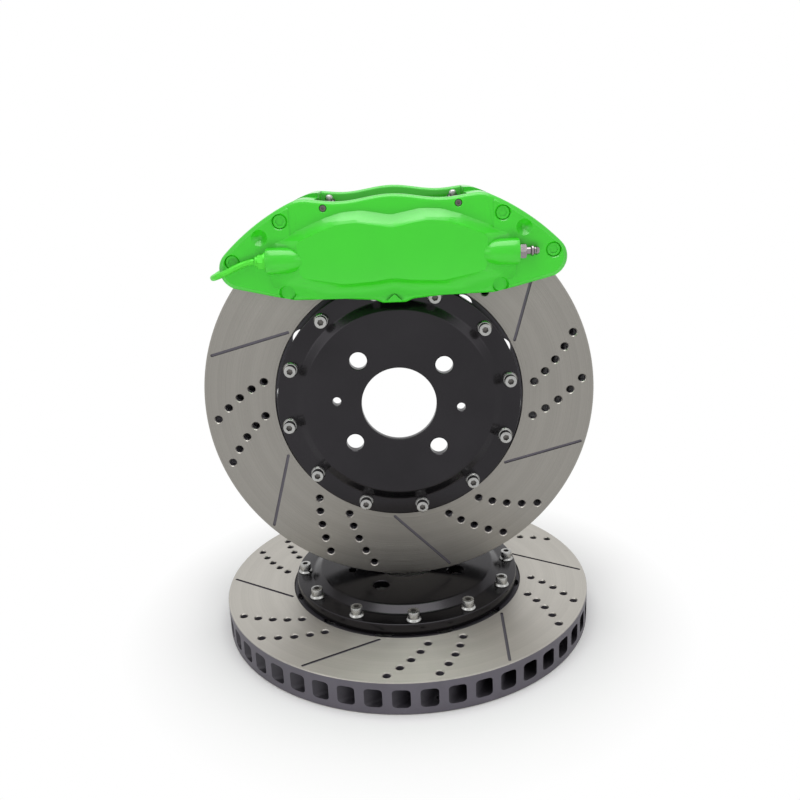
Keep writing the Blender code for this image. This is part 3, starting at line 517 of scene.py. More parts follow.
def around(shape, count, first=0.0):
    """Copies of a shape turned evenly round z, in one mesh."""
    copies = [moved(shape.copy(), turn=first + index * 2 * pi / count) for index in range(count)]
    shape.free()
    return gathered(copies)


def at_pins(shape):
    """Copies of a shape at both pad pins, in one mesh."""
    copies = [moved(shape.copy(), (side * PIN_PLACE[0], PIN_PLACE[1], 0)) for side in (1, -1)]
    shape.free()
    return gathered(copies)


def bench_object(shape):
    """Short-lived object for a Boolean, with room for four finishes."""
    mesh = bpy.data.meshes.new("bench")
    shape.to_mesh(mesh)
    shape.free()
    for _slot in range(4):
        mesh.materials.append(None)
    item = bpy.data.objects.new("bench", mesh)
    bpy.context.scene.collection.objects.link(item)
    return item


def evaluated(item):
    """Shape that an object's modifiers or curve settings give; the object is removed."""
    graph = bpy.context.evaluated_depsgraph_get()
    mesh = bpy.data.meshes.new_from_object(item.evaluated_get(graph))
    shape = bmesh.new()
    shape.from_mesh(mesh)
    bpy.data.objects.remove(item)
    bpy.data.meshes.remove(mesh)
    return shape


def combined(shape, tool, operation="DIFFERENCE"):
    """The shape with a tool cut from it or welded on."""
    faces = len(shape.faces)
    body = bench_object(shape)
    cutter = bench_object(tool)
    boolean = body.modifiers.new("combine", "BOOLEAN")
    boolean.operation = operation
    boolean.solver = "EXACT"
    boolean.object = cutter
    result = evaluated(body)
    bpy.data.objects.remove(cutter)
    if len(result.faces) < faces / 2:
        raise RuntimeError("a Boolean lost the shape")
    return result


def piece(name, shape, matrix, body, nodes, finishes):
    """Finished object from a shape: placed, smoothed, riding on its body and standing for its CAD nodes."""
    bmesh.ops.transform(shape, verts=shape.verts, matrix=matrix)
    if matrix.determinant() < 0:
        bmesh.ops.reverse_faces(shape, faces=shape.faces)
    mesh = bpy.data.meshes.new(name)
    shape.to_mesh(mesh)
    shape.free()
    for finish in finishes:
        mesh.materials.append(finish)
    mesh.shade_smooth()
    mesh.set_sharp_from_angle(angle=SHARP_ANGLE)
    item = bpy.data.objects.new(name, mesh)
    bpy.context.scene.collection.objects.link(item)
    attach(item, body)
    if nodes:
        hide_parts(*nodes)
    return item


# Shader building

class Signal:
    """One output of a node; arithmetic on it adds Math nodes."""

    def __init__(self, graph, socket):
        self.graph = graph
        self.socket = socket

    def other(self, output):
        """Another output of the same node."""
        return Signal(self.graph, self.socket.node.outputs[output])

    def most(self, other):
        """The larger of two signals."""
        return self._math("MAXIMUM", self, other)

    def _math(self, operation, first, second):
        return self.graph.add("ShaderNodeMath", {"operation": operation}, {0: first, 1: second})

    def __add__(self, other):
        return self._math("ADD", self, other)

    __radd__ = __add__

    def __sub__(self, other):
        return self._math("SUBTRACT", self, other)

    def __rsub__(self, other):
        return self._math("SUBTRACT", other, self)

    def __mul__(self, other):
        return self._math("MULTIPLY", self, other)

    __rmul__ = __mul__

    def __pow__(self, other):
        return self._math("POWER", self, other)

    def __rpow__(self, other):
        return self._math("POWER", other, self)


class Graph:
    """A node tree whose nodes all come from one method."""

    def __init__(self, tree):
        self.tree = tree

    def add(self, kind, settings=None, values=None, output=0):
        """New node: its settings first, then the values or links of its sockets."""
        node = self.tree.nodes.new(kind)
        for key, value in (settings or {}).items():
            if key == "stops":
                for element, (place, level) in zip(node.color_ramp.elements, value):
                    element.position = place
                    element.color = (level, level, level, 1.0)
            else:
                setattr(node, key, value)
        for key, value in (values or {}).items():
            self.connect(node.inputs[key], value)
        return Signal(self, node.outputs[output])

    def connect(self, socket, value):
        """Link a signal to a socket, or set the socket's value."""
        if isinstance(value, Signal):
            self.tree.links.new(value.socket, socket)
        else:
            socket.default_value = value

    def seen(self):
        """1 for the camera and in reflections and glass, 0 for light that falls on the object."""
        camera = self.add("ShaderNodeLightPath", output="Is Camera Ray")
        return camera.most(camera.other("Is Glossy Ray")).most(camera.other("Is Transmission Ray"))


class Finish(Graph):
    """A material whose Principled shader is fed by named parts."""

    def __init__(self, name, **constants):
        self.material = bpy.data.materials.new(name)
        self.material.use_nodes = True
        super().__init__(self.material.node_tree)
        self.shader = self.tree.nodes["Principled BSDF"]
        for socket, value in constants.items():
            self.shader.inputs[socket.replace("_", " ")].default_value = value

    def feed(self, socket, value):
        """Feed one socket of the shader."""
        self.connect(self.shader.inputs[socket], value)

    def place(self):
        """Object coordinates."""
        return self.add("ShaderNodeTexCoord", output="Object")

    def noise(self, scale, detail=3.0, roughness=0.5):
        """Cloudy pattern of a given fineness."""
        values = {"Vector": self.place(), "Scale": scale, "Detail": detail, "Roughness": roughness}
        return self.add("ShaderNodeTexNoise", None, values)

    def ramp(self, signal, low, high):
        """The signal stretched so that low becomes 0 and high becomes 1."""
        return self.add("ShaderNodeValToRGB", {"stops": ((low, 0.0), (high, 1.0))}, {"Fac": signal})

    def blend(self, share, first, second):
        """Mix of two colours."""
        return self.add("ShaderNodeMix", {"data_type": "RGBA"}, {0: share, 6: first, 7: second}, 2)

    def tint(self, share, dark, light):
        """Base colour between two colours."""
        self.feed("Base Color", self.blend(share, dark, light))

    def gloss(self, signal, low, high):
        """Roughness between two values."""
        self.feed("Roughness", signal * (high - low) + low)

    def bump(self, height, strength, distance):
        """Relief on the surface."""
        values = {"Strength": strength, "Distance": distance, "Height": height}
        self.feed("Normal", self.add("ShaderNodeBump", None, values))

    def axle_radius(self, flat):
        """Distance from a disc's axle."""
        across = self.add("ShaderNodeSeparateXYZ", None, {0: self.place()}, "X")
        along = across.other("Y") if flat else across.other("Z") - AXLE.z
        return (across * across + along * along) ** 0.5

    def rings(self, flat, fineness, detail=4.0):
        """Concentric turning marks about a disc's axle."""
        values = {"W": self.axle_radius(flat) * fineness, "Scale": 1.0, "Detail": detail, "Roughness": 0.65}
        return self.add("ShaderNodeTexNoise", {"noise_dimensions": "1D"}, values)


def shade(colour, factor):
    """A colour made lighter or darker, as four numbers."""
    return (*(min(channel * factor, 1.0) for channel in colour), 1.0)


def enamel(colours):
    """Thick gloss enamel with a little orange peel."""
    finish = Finish("green_enamel", Metallic=0.0, Coat_Weight=0.42, Coat_Roughness=0.05, IOR=1.45)
    clouds = finish.noise(scale=26.0, detail=3.0)
    finish.tint(clouds, shade(colours.enamel, 0.93), shade(colours.enamel, 1.06))
    finish.gloss(clouds, low=0.28, high=0.38)
    finish.bump(finish.noise(scale=420.0, detail=2.0), strength=0.04, distance=0.0006)
    return finish.material


def turned_iron(colours, name, flat):
    """Friction face, ground bright with fine concentric marks; the flat disc's is streaked, and painted
    lighter than the upright disc's for how light falls on each.
    """
    # Painted light: the flat disc's face is a lighter copy of the iron colour, the upright disc's a darker
    # one.
    level = 1.15 if flat else 0.68
    smoothest = 0.33 if flat else 0.24
    finish = Finish(name, Metallic=1.0)
    if flat:
        finish.shader.inputs["Anisotropic"].default_value = 0.75
        finish.shader.inputs["Anisotropic Rotation"].default_value = 0.25
    marks = finish.rings(flat, fineness=900.0)
    bands = finish.rings(flat, fineness=110.0, detail=2.0)
    clouds = finish.noise(scale=14.0, detail=4.0, roughness=0.6)
    tone = marks * 0.5 + bands * 0.25 + clouds * 0.25
    finish.tint(tone, shade(colours.friction, 0.74 * level), shade(colours.friction, 1.2 * level))
    finish.feed("Roughness", marks * 0.14 + clouds * 0.08 + smoothest)
    finish.bump(finish.rings(flat, fineness=1700.0), strength=0.5, distance=0.0004)
    return finish.material


def coated_casting(colours, name, level):
    """Grey coat over the cast rim and vanes, slightly rough; level makes it lighter or darker, and the darker
    copy is painted shade in the vents and hollows.
    """
    finish = Finish(name, Metallic=0.35)
    grain = finish.noise(scale=900.0, detail=4.0, roughness=0.6)
    clouds = finish.noise(scale=40.0, detail=3.0)
    tone = grain * 0.4 + clouds * 0.6
    finish.tint(tone, shade(colours.casting, 0.7 * level), shade(colours.casting, 1.35 * level))
    finish.gloss(grain, low=0.42, high=0.62)
    finish.bump(grain, strength=0.25, distance=0.0004)
    return finish.material


def anodised_bell(colours, name, flat):
    """Black anodised aluminium with faint turning marks."""
    finish = Finish(name, Metallic=0.9)
    marks = finish.rings(flat, fineness=700.0)
    clouds = finish.noise(scale=18.0, detail=3.0)
    finish.tint(clouds, shade(colours.bell, 0.8), shade(colours.bell, 1.4))
    finish.feed("Roughness", marks * 0.10 + clouds * 0.06 + 0.15)
    finish.bump(marks, strength=0.06, distance=0.0002)
    return finish.material


def plated_steel(name, colour, smoothest):
    """Bright plated steel with fine scratches and stains."""
    finish = Finish(name, Metallic=1.0)
    grain = finish.noise(scale=800.0, detail=3.0)
    stains = finish.noise(scale=150.0, detail=2.0)
    finish.tint(stains, shade(colour, 0.72), shade(colour, 1.12))
    finish.gloss(grain, smoothest, smoothest + 0.16)
    finish.bump(grain, strength=0.05, distance=0.0002)
    return finish.material


def pad_compound(name):
    """Friction compound with metal and mineral specks."""
    finish = Finish(name, Metallic=0.0)
    specks = finish.ramp(finish.noise(scale=1300.0, detail=2.0), low=0.58, high=0.72)
    grain = finish.noise(scale=500.0, detail=4.0)
    ground = finish.blend(grain, (0.03, 0.028, 0.026, 1.0), (0.085, 0.08, 0.075, 1.0))
    finish.tint(specks, ground, (0.32, 0.27, 0.2, 1.0))
    finish.gloss(grain, low=0.78, high=0.93)
    finish.bump(grain, strength=0.4, distance=0.0005)
    return finish.material


def grained(name, dark, light, metallic, fineness, detail, roughness, relief=None):
    """Finish with one even grain in colour and roughness; relief is a bump's strength and depth."""
    finish = Finish(name, Metallic=metallic)
    grain = finish.noise(fineness, detail)
    finish.tint(grain, dark, light)
    finish.gloss(grain, *roughness)
    if relief:
        finish.bump(grain, *relief)
    return finish.material


def cut_iron(colours, name):
    """Freshly cut edges of holes, slots and chamfers."""
    return grained(name, shade(colours.friction, 0.6), shade(colours.friction, 1.05), metallic=1.0,
                   fineness=700.0, detail=3.0, roughness=(0.25, 0.40))


def dark_painted_shade(name):
    """Painted shade: a dark finish for the inside of a socket, a bore or a pin end."""
    return grained(name, (0.09, 0.085, 0.08, 1.0), (0.20, 0.19, 0.18, 1.0), metallic=0.6,
                   fineness=600.0, detail=2.0, roughness=(0.4, 0.6))


def powder_black(name):
    """Black powder coat of the pads' plates."""
    return grained(name, (0.016, 0.016, 0.017, 1.0), (0.045, 0.045, 0.047, 1.0), metallic=0.1,
                   fineness=1100.0, detail=3.0, roughness=(0.42, 0.62), relief=(0.2, 0.0003))


def moulded_rubber(name):
    """Black moulded rubber."""
    return grained(name, (0.012, 0.012, 0.012, 1.0), (0.03, 0.03, 0.03, 1.0), metallic=0.0,
                   fineness=700.0, detail=3.0, roughness=(0.6, 0.75), relief=(0.15, 0.0003))


# Discs

def swept_angle(disc, radius):
    """Turn of a swept line at a radius."""
    return disc.sweep * (radius - ROW_INNER_RADIUS)


def vent_shape(disc):
    """One air channel between two vanes, with rounded corners."""
    pitch = 2 * pi / disc.vanes
    slope = (disc.vane_outer - disc.vane_inner) / (disc.radius - RING_INNER_RADIUS)
    first = RING_INNER_RADIUS - OVERCUT / 2
    last = disc.radius + OVERCUT
    left = []
    right = []
    for index in range(VENT_STEPS + 1):
        radius = first + (last - first) * index / VENT_STEPS
        vane = disc.vane_inner + slope * (radius - RING_INNER_RADIUS)
        half_angle = (pitch * radius - vane) / 2 / radius
        left.append(polar(radius, swept_angle(disc, radius) + half_angle))
        right.append(polar(radius, swept_angle(disc, radius) - half_angle))
    shape = prism(left + right[::-1], disc.cheek, disc.thickness - disc.cheek)
    along = []
    for edge in shape.edges:
        near, far = (vert.co.xy.length for vert in edge.verts)
        if climb(edge) < TINY and abs(near - far) > TINY:
            along.append(edge)
    # The channel takes the shaded slot: painted shade.
    return painted(rounded(shape, along, VENT_ROUND, segments=3), SHADED_SLOT)


def drill_shape(disc):
    """Cutter of one hole right through, with a bevel at both mouths."""
    mouth = disc.drill + DRILL_BEVEL + OVERCUT
    top = disc.thickness + OVERCUT
    profile = [(0, -OVERCUT), (mouth, -OVERCUT), (disc.drill, DRILL_BEVEL),
               (disc.drill, disc.thickness - DRILL_BEVEL), (mouth, top), (0, top)]
    shape = painted(turned(profile, SMALL_HOLE_STEPS), RIM_SLOT)
    for face in shape.faces:
        if SLANTED_FACE < abs(face.normal.z) < LEVEL_FACE:
            face.material_index = CUT_SLOT
    return shape


def row_shapes(disc):
    """Cutters of the two drilled rows of one repeat."""
    shapes = []
    for row in ROW_ANGLES:
        for index in range(ROW_LENGTH):
            radius = ROW_INNER_RADIUS + (ROW_OUTER_RADIUS - ROW_INNER_RADIUS) * index / (ROW_LENGTH - 1)
            hole = moved(drill_shape(disc), (radius, 0, 0))
            shapes.append(moved(hole, turn=row + swept_angle(disc, radius)))
    return gathered(shapes)


def slot_shapes(disc):
    """Cutters of one slot on each face."""
    inner, outer = (Vector(polar(radius, swept_angle(disc, radius))) for radius in SLOT_ENDS)
    side = (outer - inner).normalized().orthogonal() * disc.slot_width / 2
    outline = [inner + side, outer + side, outer - side, inner - side]
    shapes = [prism(outline, disc.thickness - disc.slot_depth, disc.thickness + OVERCUT),
              prism(outline, -OVERCUT, disc.slot_depth)]
    for shape in shapes:
        upright = [edge for edge in shape.edges if climb(edge) > OVERCUT]
        corners = [edge for edge in upright if edge.calc_face_angle(0.0) > SQUARE_CORNER]
        rounded(shape, corners, disc.slot_width * SLOT_END_ROUND, segments=4)
        # Floors take the rim's coat; the walls take the shaded slot, painted shade.
        for face in shape.faces:
            face.material_index = RIM_SLOT if abs(face.normal.z) > LEVEL_FACE else SHADED_SLOT
    return gathered(shapes)


def notch_shape(disc):
    """Cutter of one round-ended gap between two ears."""
    centre = NOTCH_REACH - NOTCH_RADIUS
    outline = []
    for index in range(NOTCH_STEPS + 1):
        x, y = polar(NOTCH_RADIUS, pi * index / NOTCH_STEPS - pi / 2)
        outline.append((centre + x, y))
    mouth = EAR_INNER_RADIUS - OVERCUT
    outline += [(mouth, NOTCH_RADIUS), (mouth, -NOTCH_RADIUS)]
    # The gap between the ears takes the shaded slot: painted shade.
    return painted(prism(outline, disc.thickness - disc.cheek - OVERCUT, disc.thickness + OVERCUT), SHADED_SLOT)


def screw_hole(low, high):
    """Cutter of the first screw's hole."""
    hole = rod(SCREW_RADIUS + SCREW_CLEARANCE, low, high, SCREW_HOLE_STEPS)
    return moved(hole, (SCREW_CIRCLE, 0, 0))


def ring_shape(disc):
    """Vented, drilled and slotted ring of the upright disc."""
    ear_back = disc.thickness - disc.cheek - SEAT_GAP
    ear_top = disc.thickness - LEDGE_DEPTH
    profile = [(RING_INNER_RADIUS, 0), (disc.radius, 0), (disc.radius, disc.thickness),
               (LEDGE_RADIUS, disc.thickness), (LEDGE_RADIUS, ear_top), (EAR_INNER_RADIUS, ear_top),
               (EAR_INNER_RADIUS, ear_back), (RING_INNER_RADIUS, ear_back)]
    shape = turned(profile, RING_STEPS, RING_ROUNDS, segments=1)
    for face in shape.faces:
        rise = abs(face.normal.z)
        face.material_index = FACE_SLOT if rise > TRUE_FACE else RIM_SLOT if rise < STEEP_FACE else CUT_SLOT
        # Faces inside the ledge's radius take the shaded slot: painted shade.
        if face.calc_center_median().xy.length < LEDGE_RADIUS:
            face.material_index = SHADED_SLOT
    shape = combined(shape, around(vent_shape(disc), disc.vanes, SLOT_FROM_SCREW))
    holes = painted(screw_hole(ear_back - OVERCUT, disc.thickness + OVERCUT), CUT_SLOT)
    cutters = [around(row_shapes(disc), PATTERN_REPEATS, SLOT_FROM_SCREW),
               around(slot_shapes(disc), PATTERN_REPEATS, SLOT_FROM_SCREW),
               around(notch_shape(disc), SCREW_COUNT, pi / SCREW_COUNT),
               around(holes, SCREW_COUNT)]
    return combined(shape, gathered(cutters))


def bell_shape(disc):
    """Shallow bell with its hub plate, cone and bolting flange."""
    flange_back = disc.thickness + SEAT_GAP
    profile = [(BORE_RADIUS, HUB_BACK), (HUB_BACK_RADIUS, HUB_BACK), (CONE_BACK_RADIUS, flange_back),
               (FLANGE_RADIUS, flange_back), (FLANGE_RADIUS, FLANGE_TOP), (CONE_FOOT_RADIUS, FLANGE_TOP),
               (HUB_RADIUS, HUB_TOP), (BORE_RADIUS, HUB_TOP)]
    shape = turned(profile, LARGE_STEPS, BELL_ROUNDS)
    low = flange_back - OVERCUT
    stud = moved(flared_hole(STUD_RADIUS, low, HUB_TOP, STUD_BEVEL), (STUD_CIRCLE, 0, 0))
    jack = moved(flared_hole(JACK_RADIUS, low, HUB_TOP, JACK_BEVEL), (JACK_CIRCLE, 0, 0))
    cutters = [around(stud, STUD_COUNT, STUD_ANGLE), around(jack, JACK_COUNT, JACK_ANGLE),
               around(screw_hole(low, HUB_TOP), SCREW_COUNT)]
    return combined(shape, gathered(cutters))


def screw_shape(disc):
    """Socket cap screw on its flared washer, at its place on the first ear."""
    seat = FLANGE_TOP + SEAT_GAP
    head_foot = seat + WASHER_THICKNESS
    head_top = head_foot + disc.head_height
    tail = disc.thickness - disc.cheek - SCREW_TAIL
    profile = [(0, tail), (SCREW_RADIUS, tail), (SCREW_RADIUS, seat), (disc.washer, seat),
               (disc.washer, seat + WASHER_LIP), (disc.head_radius + WASHER_COLLAR, head_foot - WASHER_STEP),
               (disc.head_radius, head_foot), (disc.head_radius, head_top), (0, head_top)]
    shape = turned(profile, SCREW_STEPS, SCREW_ROUNDS, segments=2)
    key = prism(six_sided(SCREW_KEY_RADIUS), head_top - SCREW_KEY_DEPTH, head_top + OVERCUT)
    # The socket takes the second finish: painted shade.
    return moved(combined(shape, painted(key, 1)), (SCREW_CIRCLE, 0, 0))


# Caliper

def mirrored(right_side):
    """Closed outline from its right half, which runs from the upper middle to the lower middle."""
    return list(right_side) + [(-x, y) for x, y in right_side[::-1] if x > 0]


def saddle_height(x, middle):
    """Height of the wavy upper edge, which runs over soft shoulders into the round bridges."""
    wave = middle + SADDLE_WAVE * cos(2 * pi * x / SADDLE_PITCH)
    bridge = sqrt(EDGE_RADIUS ** 2 - x ** 2)
    return -SHOULDER * log(exp(-wave / SHOULDER) + exp(-bridge / SHOULDER))


def body_outline(middle):
    """Outline of a caliper half; middle is the mean height of its saddle."""
    places = [BRIDGE_MEET * index / SADDLE_STEPS for index in range(SADDLE_STEPS)]
    right = [(x, saddle_height(x, middle)) for x in places]
    first = asin(BRIDGE_MEET / EDGE_RADIUS)
    for index in range(END_STEPS):
        right.append(polar(EDGE_RADIUS, pi / 2 - first - (END_ANGLE - first) * index / END_STEPS))
    centre = polar(EDGE_RADIUS - END_RADIUS, pi / 2 - END_ANGLE)
    for index in range(END_STEPS + 1):
        x, y = polar(END_RADIUS, pi / 2 - END_ANGLE - END_SWEEP * index / END_STEPS)
        right.append((centre[0] + x, centre[1] + y))
    return mirrored(right + list(TAIL))


def plate_shape(sizes, middle):
    """Body block with a rounded front rim and raised wings."""
    shape = prism(body_outline(middle), SEAT_GAP / 2, FLANGE_FACE)
    rounded(shape, at_height(shape.edges, FLANGE_FACE), sizes.edge_round, segments=4)
    for place in (-WING_RAMP[1], -WING_RAMP[0], WING_RAMP[0], WING_RAMP[1]):
        sliced(shape, (place, 0, 0), (1, 0, 0))
    face = [vert for vert in shape.verts if vert.co.z > FLANGE_FACE - TINY]
    wings = [vert for vert in face if abs(vert.co.x) > WING_RAMP[1] - TINY]
    bmesh.ops.translate(shape, verts=wings, vec=(0, 0, WING_RISE))
    return shape


def panel_shape(sizes):
    """Raised bow-tie panel on its coved slopes."""
    low = FLANGE_FACE - PANEL_SINK
    shape = gathered([outlined(mirrored(FOOT), low, PANEL_CORNER),
                      outlined(mirrored(CREST), PANEL_FACE, PANEL_CORNER)])
    bmesh.ops.bridge_loops(shape, edges=shape.edges[:])
    slopes = [edge for edge in shape.edges if climb(edge) > OVERCUT]
    bmesh.ops.subdivide_edges(shape, edges=slopes, cuts=SLOPE_CUTS, use_grid_fill=True)
    foot = at_height(shape.faces, low)
    root = extruded(shape, foot)
    bmesh.ops.delete(shape, geom=foot, context="FACES_ONLY")
    for vert in set(shape.verts) - set(root):
        share = (vert.co.z - low) / (PANEL_FACE - low)
        lip = LIP_RISE * min(max((LIP_TOP - vert.co.y) / LIP_FADE, 0.0), 1.0) * (1 - share)
        cove = (1 - COVE_SHARE) * share + COVE_SHARE * share ** COVE_POWER
        vert.co.z = low + lip + (PANEL_FACE - low - lip) * cove
    bmesh.ops.translate(shape, verts=root, vec=(0, 0, -PANEL_ROOT))
    rounded(shape, at_height(shape.edges, PANEL_FACE), sizes.crest_round, segments=3)
    top = at_height(shape.faces, PANEL_FACE)
    bmesh.ops.inset_region(shape, faces=top, thickness=sizes.crest_round, use_even_offset=True)
    bmesh.ops.recalc_face_normals(shape, faces=shape.faces)
    return domed(shape, low)


def domed(shape, low):
    """The panel cut into a grid and bent back towards its ends and edges."""
    width, middle, height = PANEL_REACH
    across, up = DOME_CUTS
    for index in range(-across, across + 1):
        sliced(shape, (width * index / across, 0, 0), (1, 0, 0))
    for index in range(-up, up + 1):
        sliced(shape, (0, middle + height * index / up, 0), (0, 1, 0))
    for vert in shape.verts:
        share = max(vert.co.z - low, 0.0) / (PANEL_FACE - low)
        ends = min(abs(vert.co.x) / width, 1.0) ** 4
        edges = min(abs(vert.co.y - middle) / height, 1.0) ** 2
        vert.co.z -= share ** 2 * (PANEL_END_DROP * ends + PANEL_EDGE_DROP * edges)
    bmesh.ops.triangulate(shape, faces=shape.faces)
    return shape


def boss_shape(sizes, side):
    """Bullet-nosed fluid boss with its flat end outwards."""
    end, height, depth = BOSS_PLACE
    profile = []
    for index in range(NOSE_STEPS + 1):
        angle = pi / 2 * index / NOSE_STEPS
        profile.append((sizes.boss_radius * sin(angle) ** NOSE_POWER,
                        end - BOSS_LENGTH - NOSE_LENGTH * cos(angle)))
    corner = len(profile)
    profile += [(sizes.boss_radius, end), (0, end)]
    shape = turned(profile, BOSS_STEPS, {corner: BOSS_EDGE}, segments=2)
    return moved(shape, (0, height, depth), side * pi / 2, "Y")


def bolt_place(side, angle, circle):
    """Point on the bridge, seen along the axle."""
    x, y = polar(circle, pi / 2 - side * angle)
    return (x, y, 0)


def bore_shape(side):
    """Stepped cutter of a piston bore with its boot seat and seal groove."""
    start = POCKET_BACK - OVERCUT
    profile = [(0, start), (PISTON_BORE, start)]
    for radius, low, high in (BOOT_SEAT, SEAL_GROOVE):
        profile += [(PISTON_BORE, low), (radius, low), (radius, high), (PISTON_BORE, high)]
    profile += [(PISTON_BORE, PISTON_BORE_END), (0, PISTON_BORE_END)]
    return moved(turned(profile, PISTON_BORE_STEPS), (side * PISTON_PLACE[0], PISTON_PLACE[1], 0))


def sunk_shape(profile, level):
    """Turned cutter whose profile gives heights from a face's level."""
    return turned([(radius, level + height) for radius, height in profile], HOLE_STEPS)


def face_cutters(sizes, side):
    """Cutters of one side: bore, bolt recesses, dimple, scallop, pin hole and port."""
    wing = FLANGE_FACE + WING_RISE
    cutters = [bore_shape(side)]
    for angle in BOLT_ANGLES:
        place = bolt_place(side, angle, BOLT_CIRCLE)
        recess = flared_hole(sizes.bolt_head + BOLT_CLEARANCE, BOLT_SEAT, wing, BOLT_MOUTH)
        cutters.append(moved(recess, place))
        cutters.append(moved(rod(BOLT_HOLE, -OVERCUT, BOLT_SEAT + BOLT_CLEARANCE, SHANK_STEPS), place))
    cutters.append(moved(sunk_shape(DIMPLE, wing), bolt_place(side, DIMPLE_ANGLE, DIMPLE_CIRCLE)))
    scallop = sunk_shape(SCALLOP, FLANGE_FACE)
    cutters.append(moved(scallop, (side * SCALLOP_PLACE[0], SCALLOP_PLACE[1], 0)))
    pin = flared_hole(sizes.pin + SCREW_CLEARANCE, -OVERCUT, FLANGE_FACE, PIN_MOUTH, SMALL_HOLE_STEPS)
    cutters.append(moved(pin, (side * PIN_PLACE[0], PIN_PLACE[1], 0)))
    end, height, depth = BOSS_PLACE
    port = flared_hole(PORT_RADIUS, end - PORT_DEPTH, end, PORT_BEVEL, SMALL_HOLE_STEPS)
    cutters.append(moved(port, (0, height, depth), side * pi / 2, "Y"))
    return gathered(cutters)


def half_shape(sizes, middle, lugs):
    """One half of the caliper body, with or without the mounting lugs."""
    additions = [lug_shape(side) for side in (1, -1)] if lugs else []
    additions.append(panel_shape(sizes))
    additions += [boss_shape(sizes, side) for side in (1, -1)]
    additions.append(prism(NUB, FLANGE_FACE - NUB_RISE, FLANGE_FACE + NUB_RISE, NUB_CORNER))
    shape = plate_shape(sizes, middle)
    for addition in additions:
        shape = combined(shape, addition, "UNION")
    pocket = rectangle(-POCKET_HALF_LENGTH, POCKET_HALF_LENGTH, 0, EDGE_RADIUS + OVERCUT)
    for cutter in (rod(RIM_ROOM_RADIUS, -OVERCUT, RIM_ROOM_DEPTH, LARGE_STEPS),
                   prism(pocket, -OVERCUT, POCKET_BACK),
                   rod(BELL_ROOM_RADIUS, -OVERCUT, BELL_ROOM_DEPTH, LARGE_STEPS),
                   gathered([face_cutters(sizes, side) for side in (1, -1)])):
        shape = combined(shape, cutter)
    lowest = middle - WINDOW_REACH * SADDLE_WAVE
    pocket_edges = at_height(shape.edges, POCKET_BACK)
    window = [edge for edge in pocket_edges if all(vert.co.y > lowest for vert in edge.verts)]
    return rounded(shape, window, POCKET_ROUND, segments=3)


def lug_shape(side):
    """Radial mounting lug of the inner half, with rounded corners and a bolt hole towards the axle."""
    offset, foot, top = LUG_PLACE
    outline = rectangle(side * offset - LUG_HALF_WIDTH, side * offset + LUG_HALF_WIDTH, foot, top)
    shape = prism(outline, FLANGE_FACE - LUG_OVERLAP, FLANGE_FACE + LUG_REACH)
    outer = [edge for edge in shape.edges if min(vert.co.z for vert in edge.verts) > FLANGE_FACE]
    rounded(shape, outer, LUG_ROUND, segments=3)
    hole = rod(LUG_HOLE_RADIUS, foot - OVERCUT, top + OVERCUT, LUG_HOLE_STEPS)
    return combined(shape, moved(hole, (side * offset, 0, FLANGE_FACE + LUG_HOLE_DEPTH), -pi / 2, "X"))


def bolt_shape(sizes):
    """Bridge bolt with a socket head at the outer half and a domed nut at the inner one."""
    seat = BOLT_SEAT + SEAT_GAP
    head = FLANGE_FACE - BOLT_INSET
    profile = [(0, -head), (sizes.bolt_head, -head), (sizes.bolt_head, -seat), (BOLT_SHANK, -seat),
               (BOLT_SHANK, seat), (sizes.bolt_head, seat), (sizes.bolt_head, head), (0, head)]
    shape = turned(profile, BOLT_STEPS, BOLT_ROUNDS)
    return combined(shape, prism(six_sided(BOLT_KEY_RADIUS), head - BOLT_KEY_DEPTH, head + OVERCUT))


def pin_shape(sizes):
    """Pad pin with bored ends."""
    end = FLANGE_FACE - PIN_INSET
    profile = [(0, -end), (sizes.pin, -end), (sizes.pin, end), (0, end)]
    shape = turned(profile, PIN_STEPS, PIN_ROUNDS, segments=2)
    # The ends take the second finish, painted shade, and so do the bores below.
    for face in shape.faces:
        face.material_index = 1 if abs(face.normal.z) > SLANTED_FACE else 0
    bores = [rod(PIN_BORE, end - PIN_BORE, end + OVERCUT, SHANK_STEPS),
             rod(PIN_BORE, -end - OVERCUT, PIN_BORE - end, SHANK_STEPS)]
    return combined(shape, painted(gathered(bores), 1))


def clip_shape(sizes):
    """Retaining clip on a pad pin: a collar with a domed knob above it."""
    radius, front = CLIP_COLLAR
    profile = [(sizes.pin, CLIP_BACK), (radius, CLIP_BACK), (radius, front), (sizes.pin, front)]
    collar = turned(profile, HOLE_STEPS, CLIP_ROUNDS, segments=2)
    knob = turned(KNOB, HOLE_STEPS, KNOB_ROUNDS, segments=2)
    shape = combined(collar, moved(knob, (0, KNOB_RISE, 0)), "UNION")
    return combined(shape, rod(sizes.pin, *CLIP_HOLE, PIN_STEPS))


def fitting_shape(radius, ends, profile):
    """Hexagon with bevelled corners between two heights, welded to a turned profile."""
    low, high = ends
    flat = radius * cos(pi / 6)
    bevel = (radius - flat) * HEXAGON_BEVEL
    cone = [(0, low - OVERCUT), (flat - OVERCUT, low - OVERCUT), (flat, low), (radius + TINY, low + bevel),
            (radius + TINY, high - bevel), (flat, high), (flat - OVERCUT, high + OVERCUT),
            (0, high + OVERCUT)]
    shape = combined(prism(six_sided(radius), low, high), turned(cone, BOLT_STEPS), "INTERSECT")
    return combined(shape, turned(profile, HOLE_STEPS), "UNION")


def bleed_shape(sizes):
    """Bleed screw: hexagon, neck and barbed, bored nipple, on its shank."""
    shape = fitting_shape(sizes.hexagon, BLEED_HEXAGON, BLEED)
    # The nipple's bore takes the second finish: painted shade.
    return combined(shape, painted(rod(*BLEED_BORE, NIPPLE_STEPS), 1))


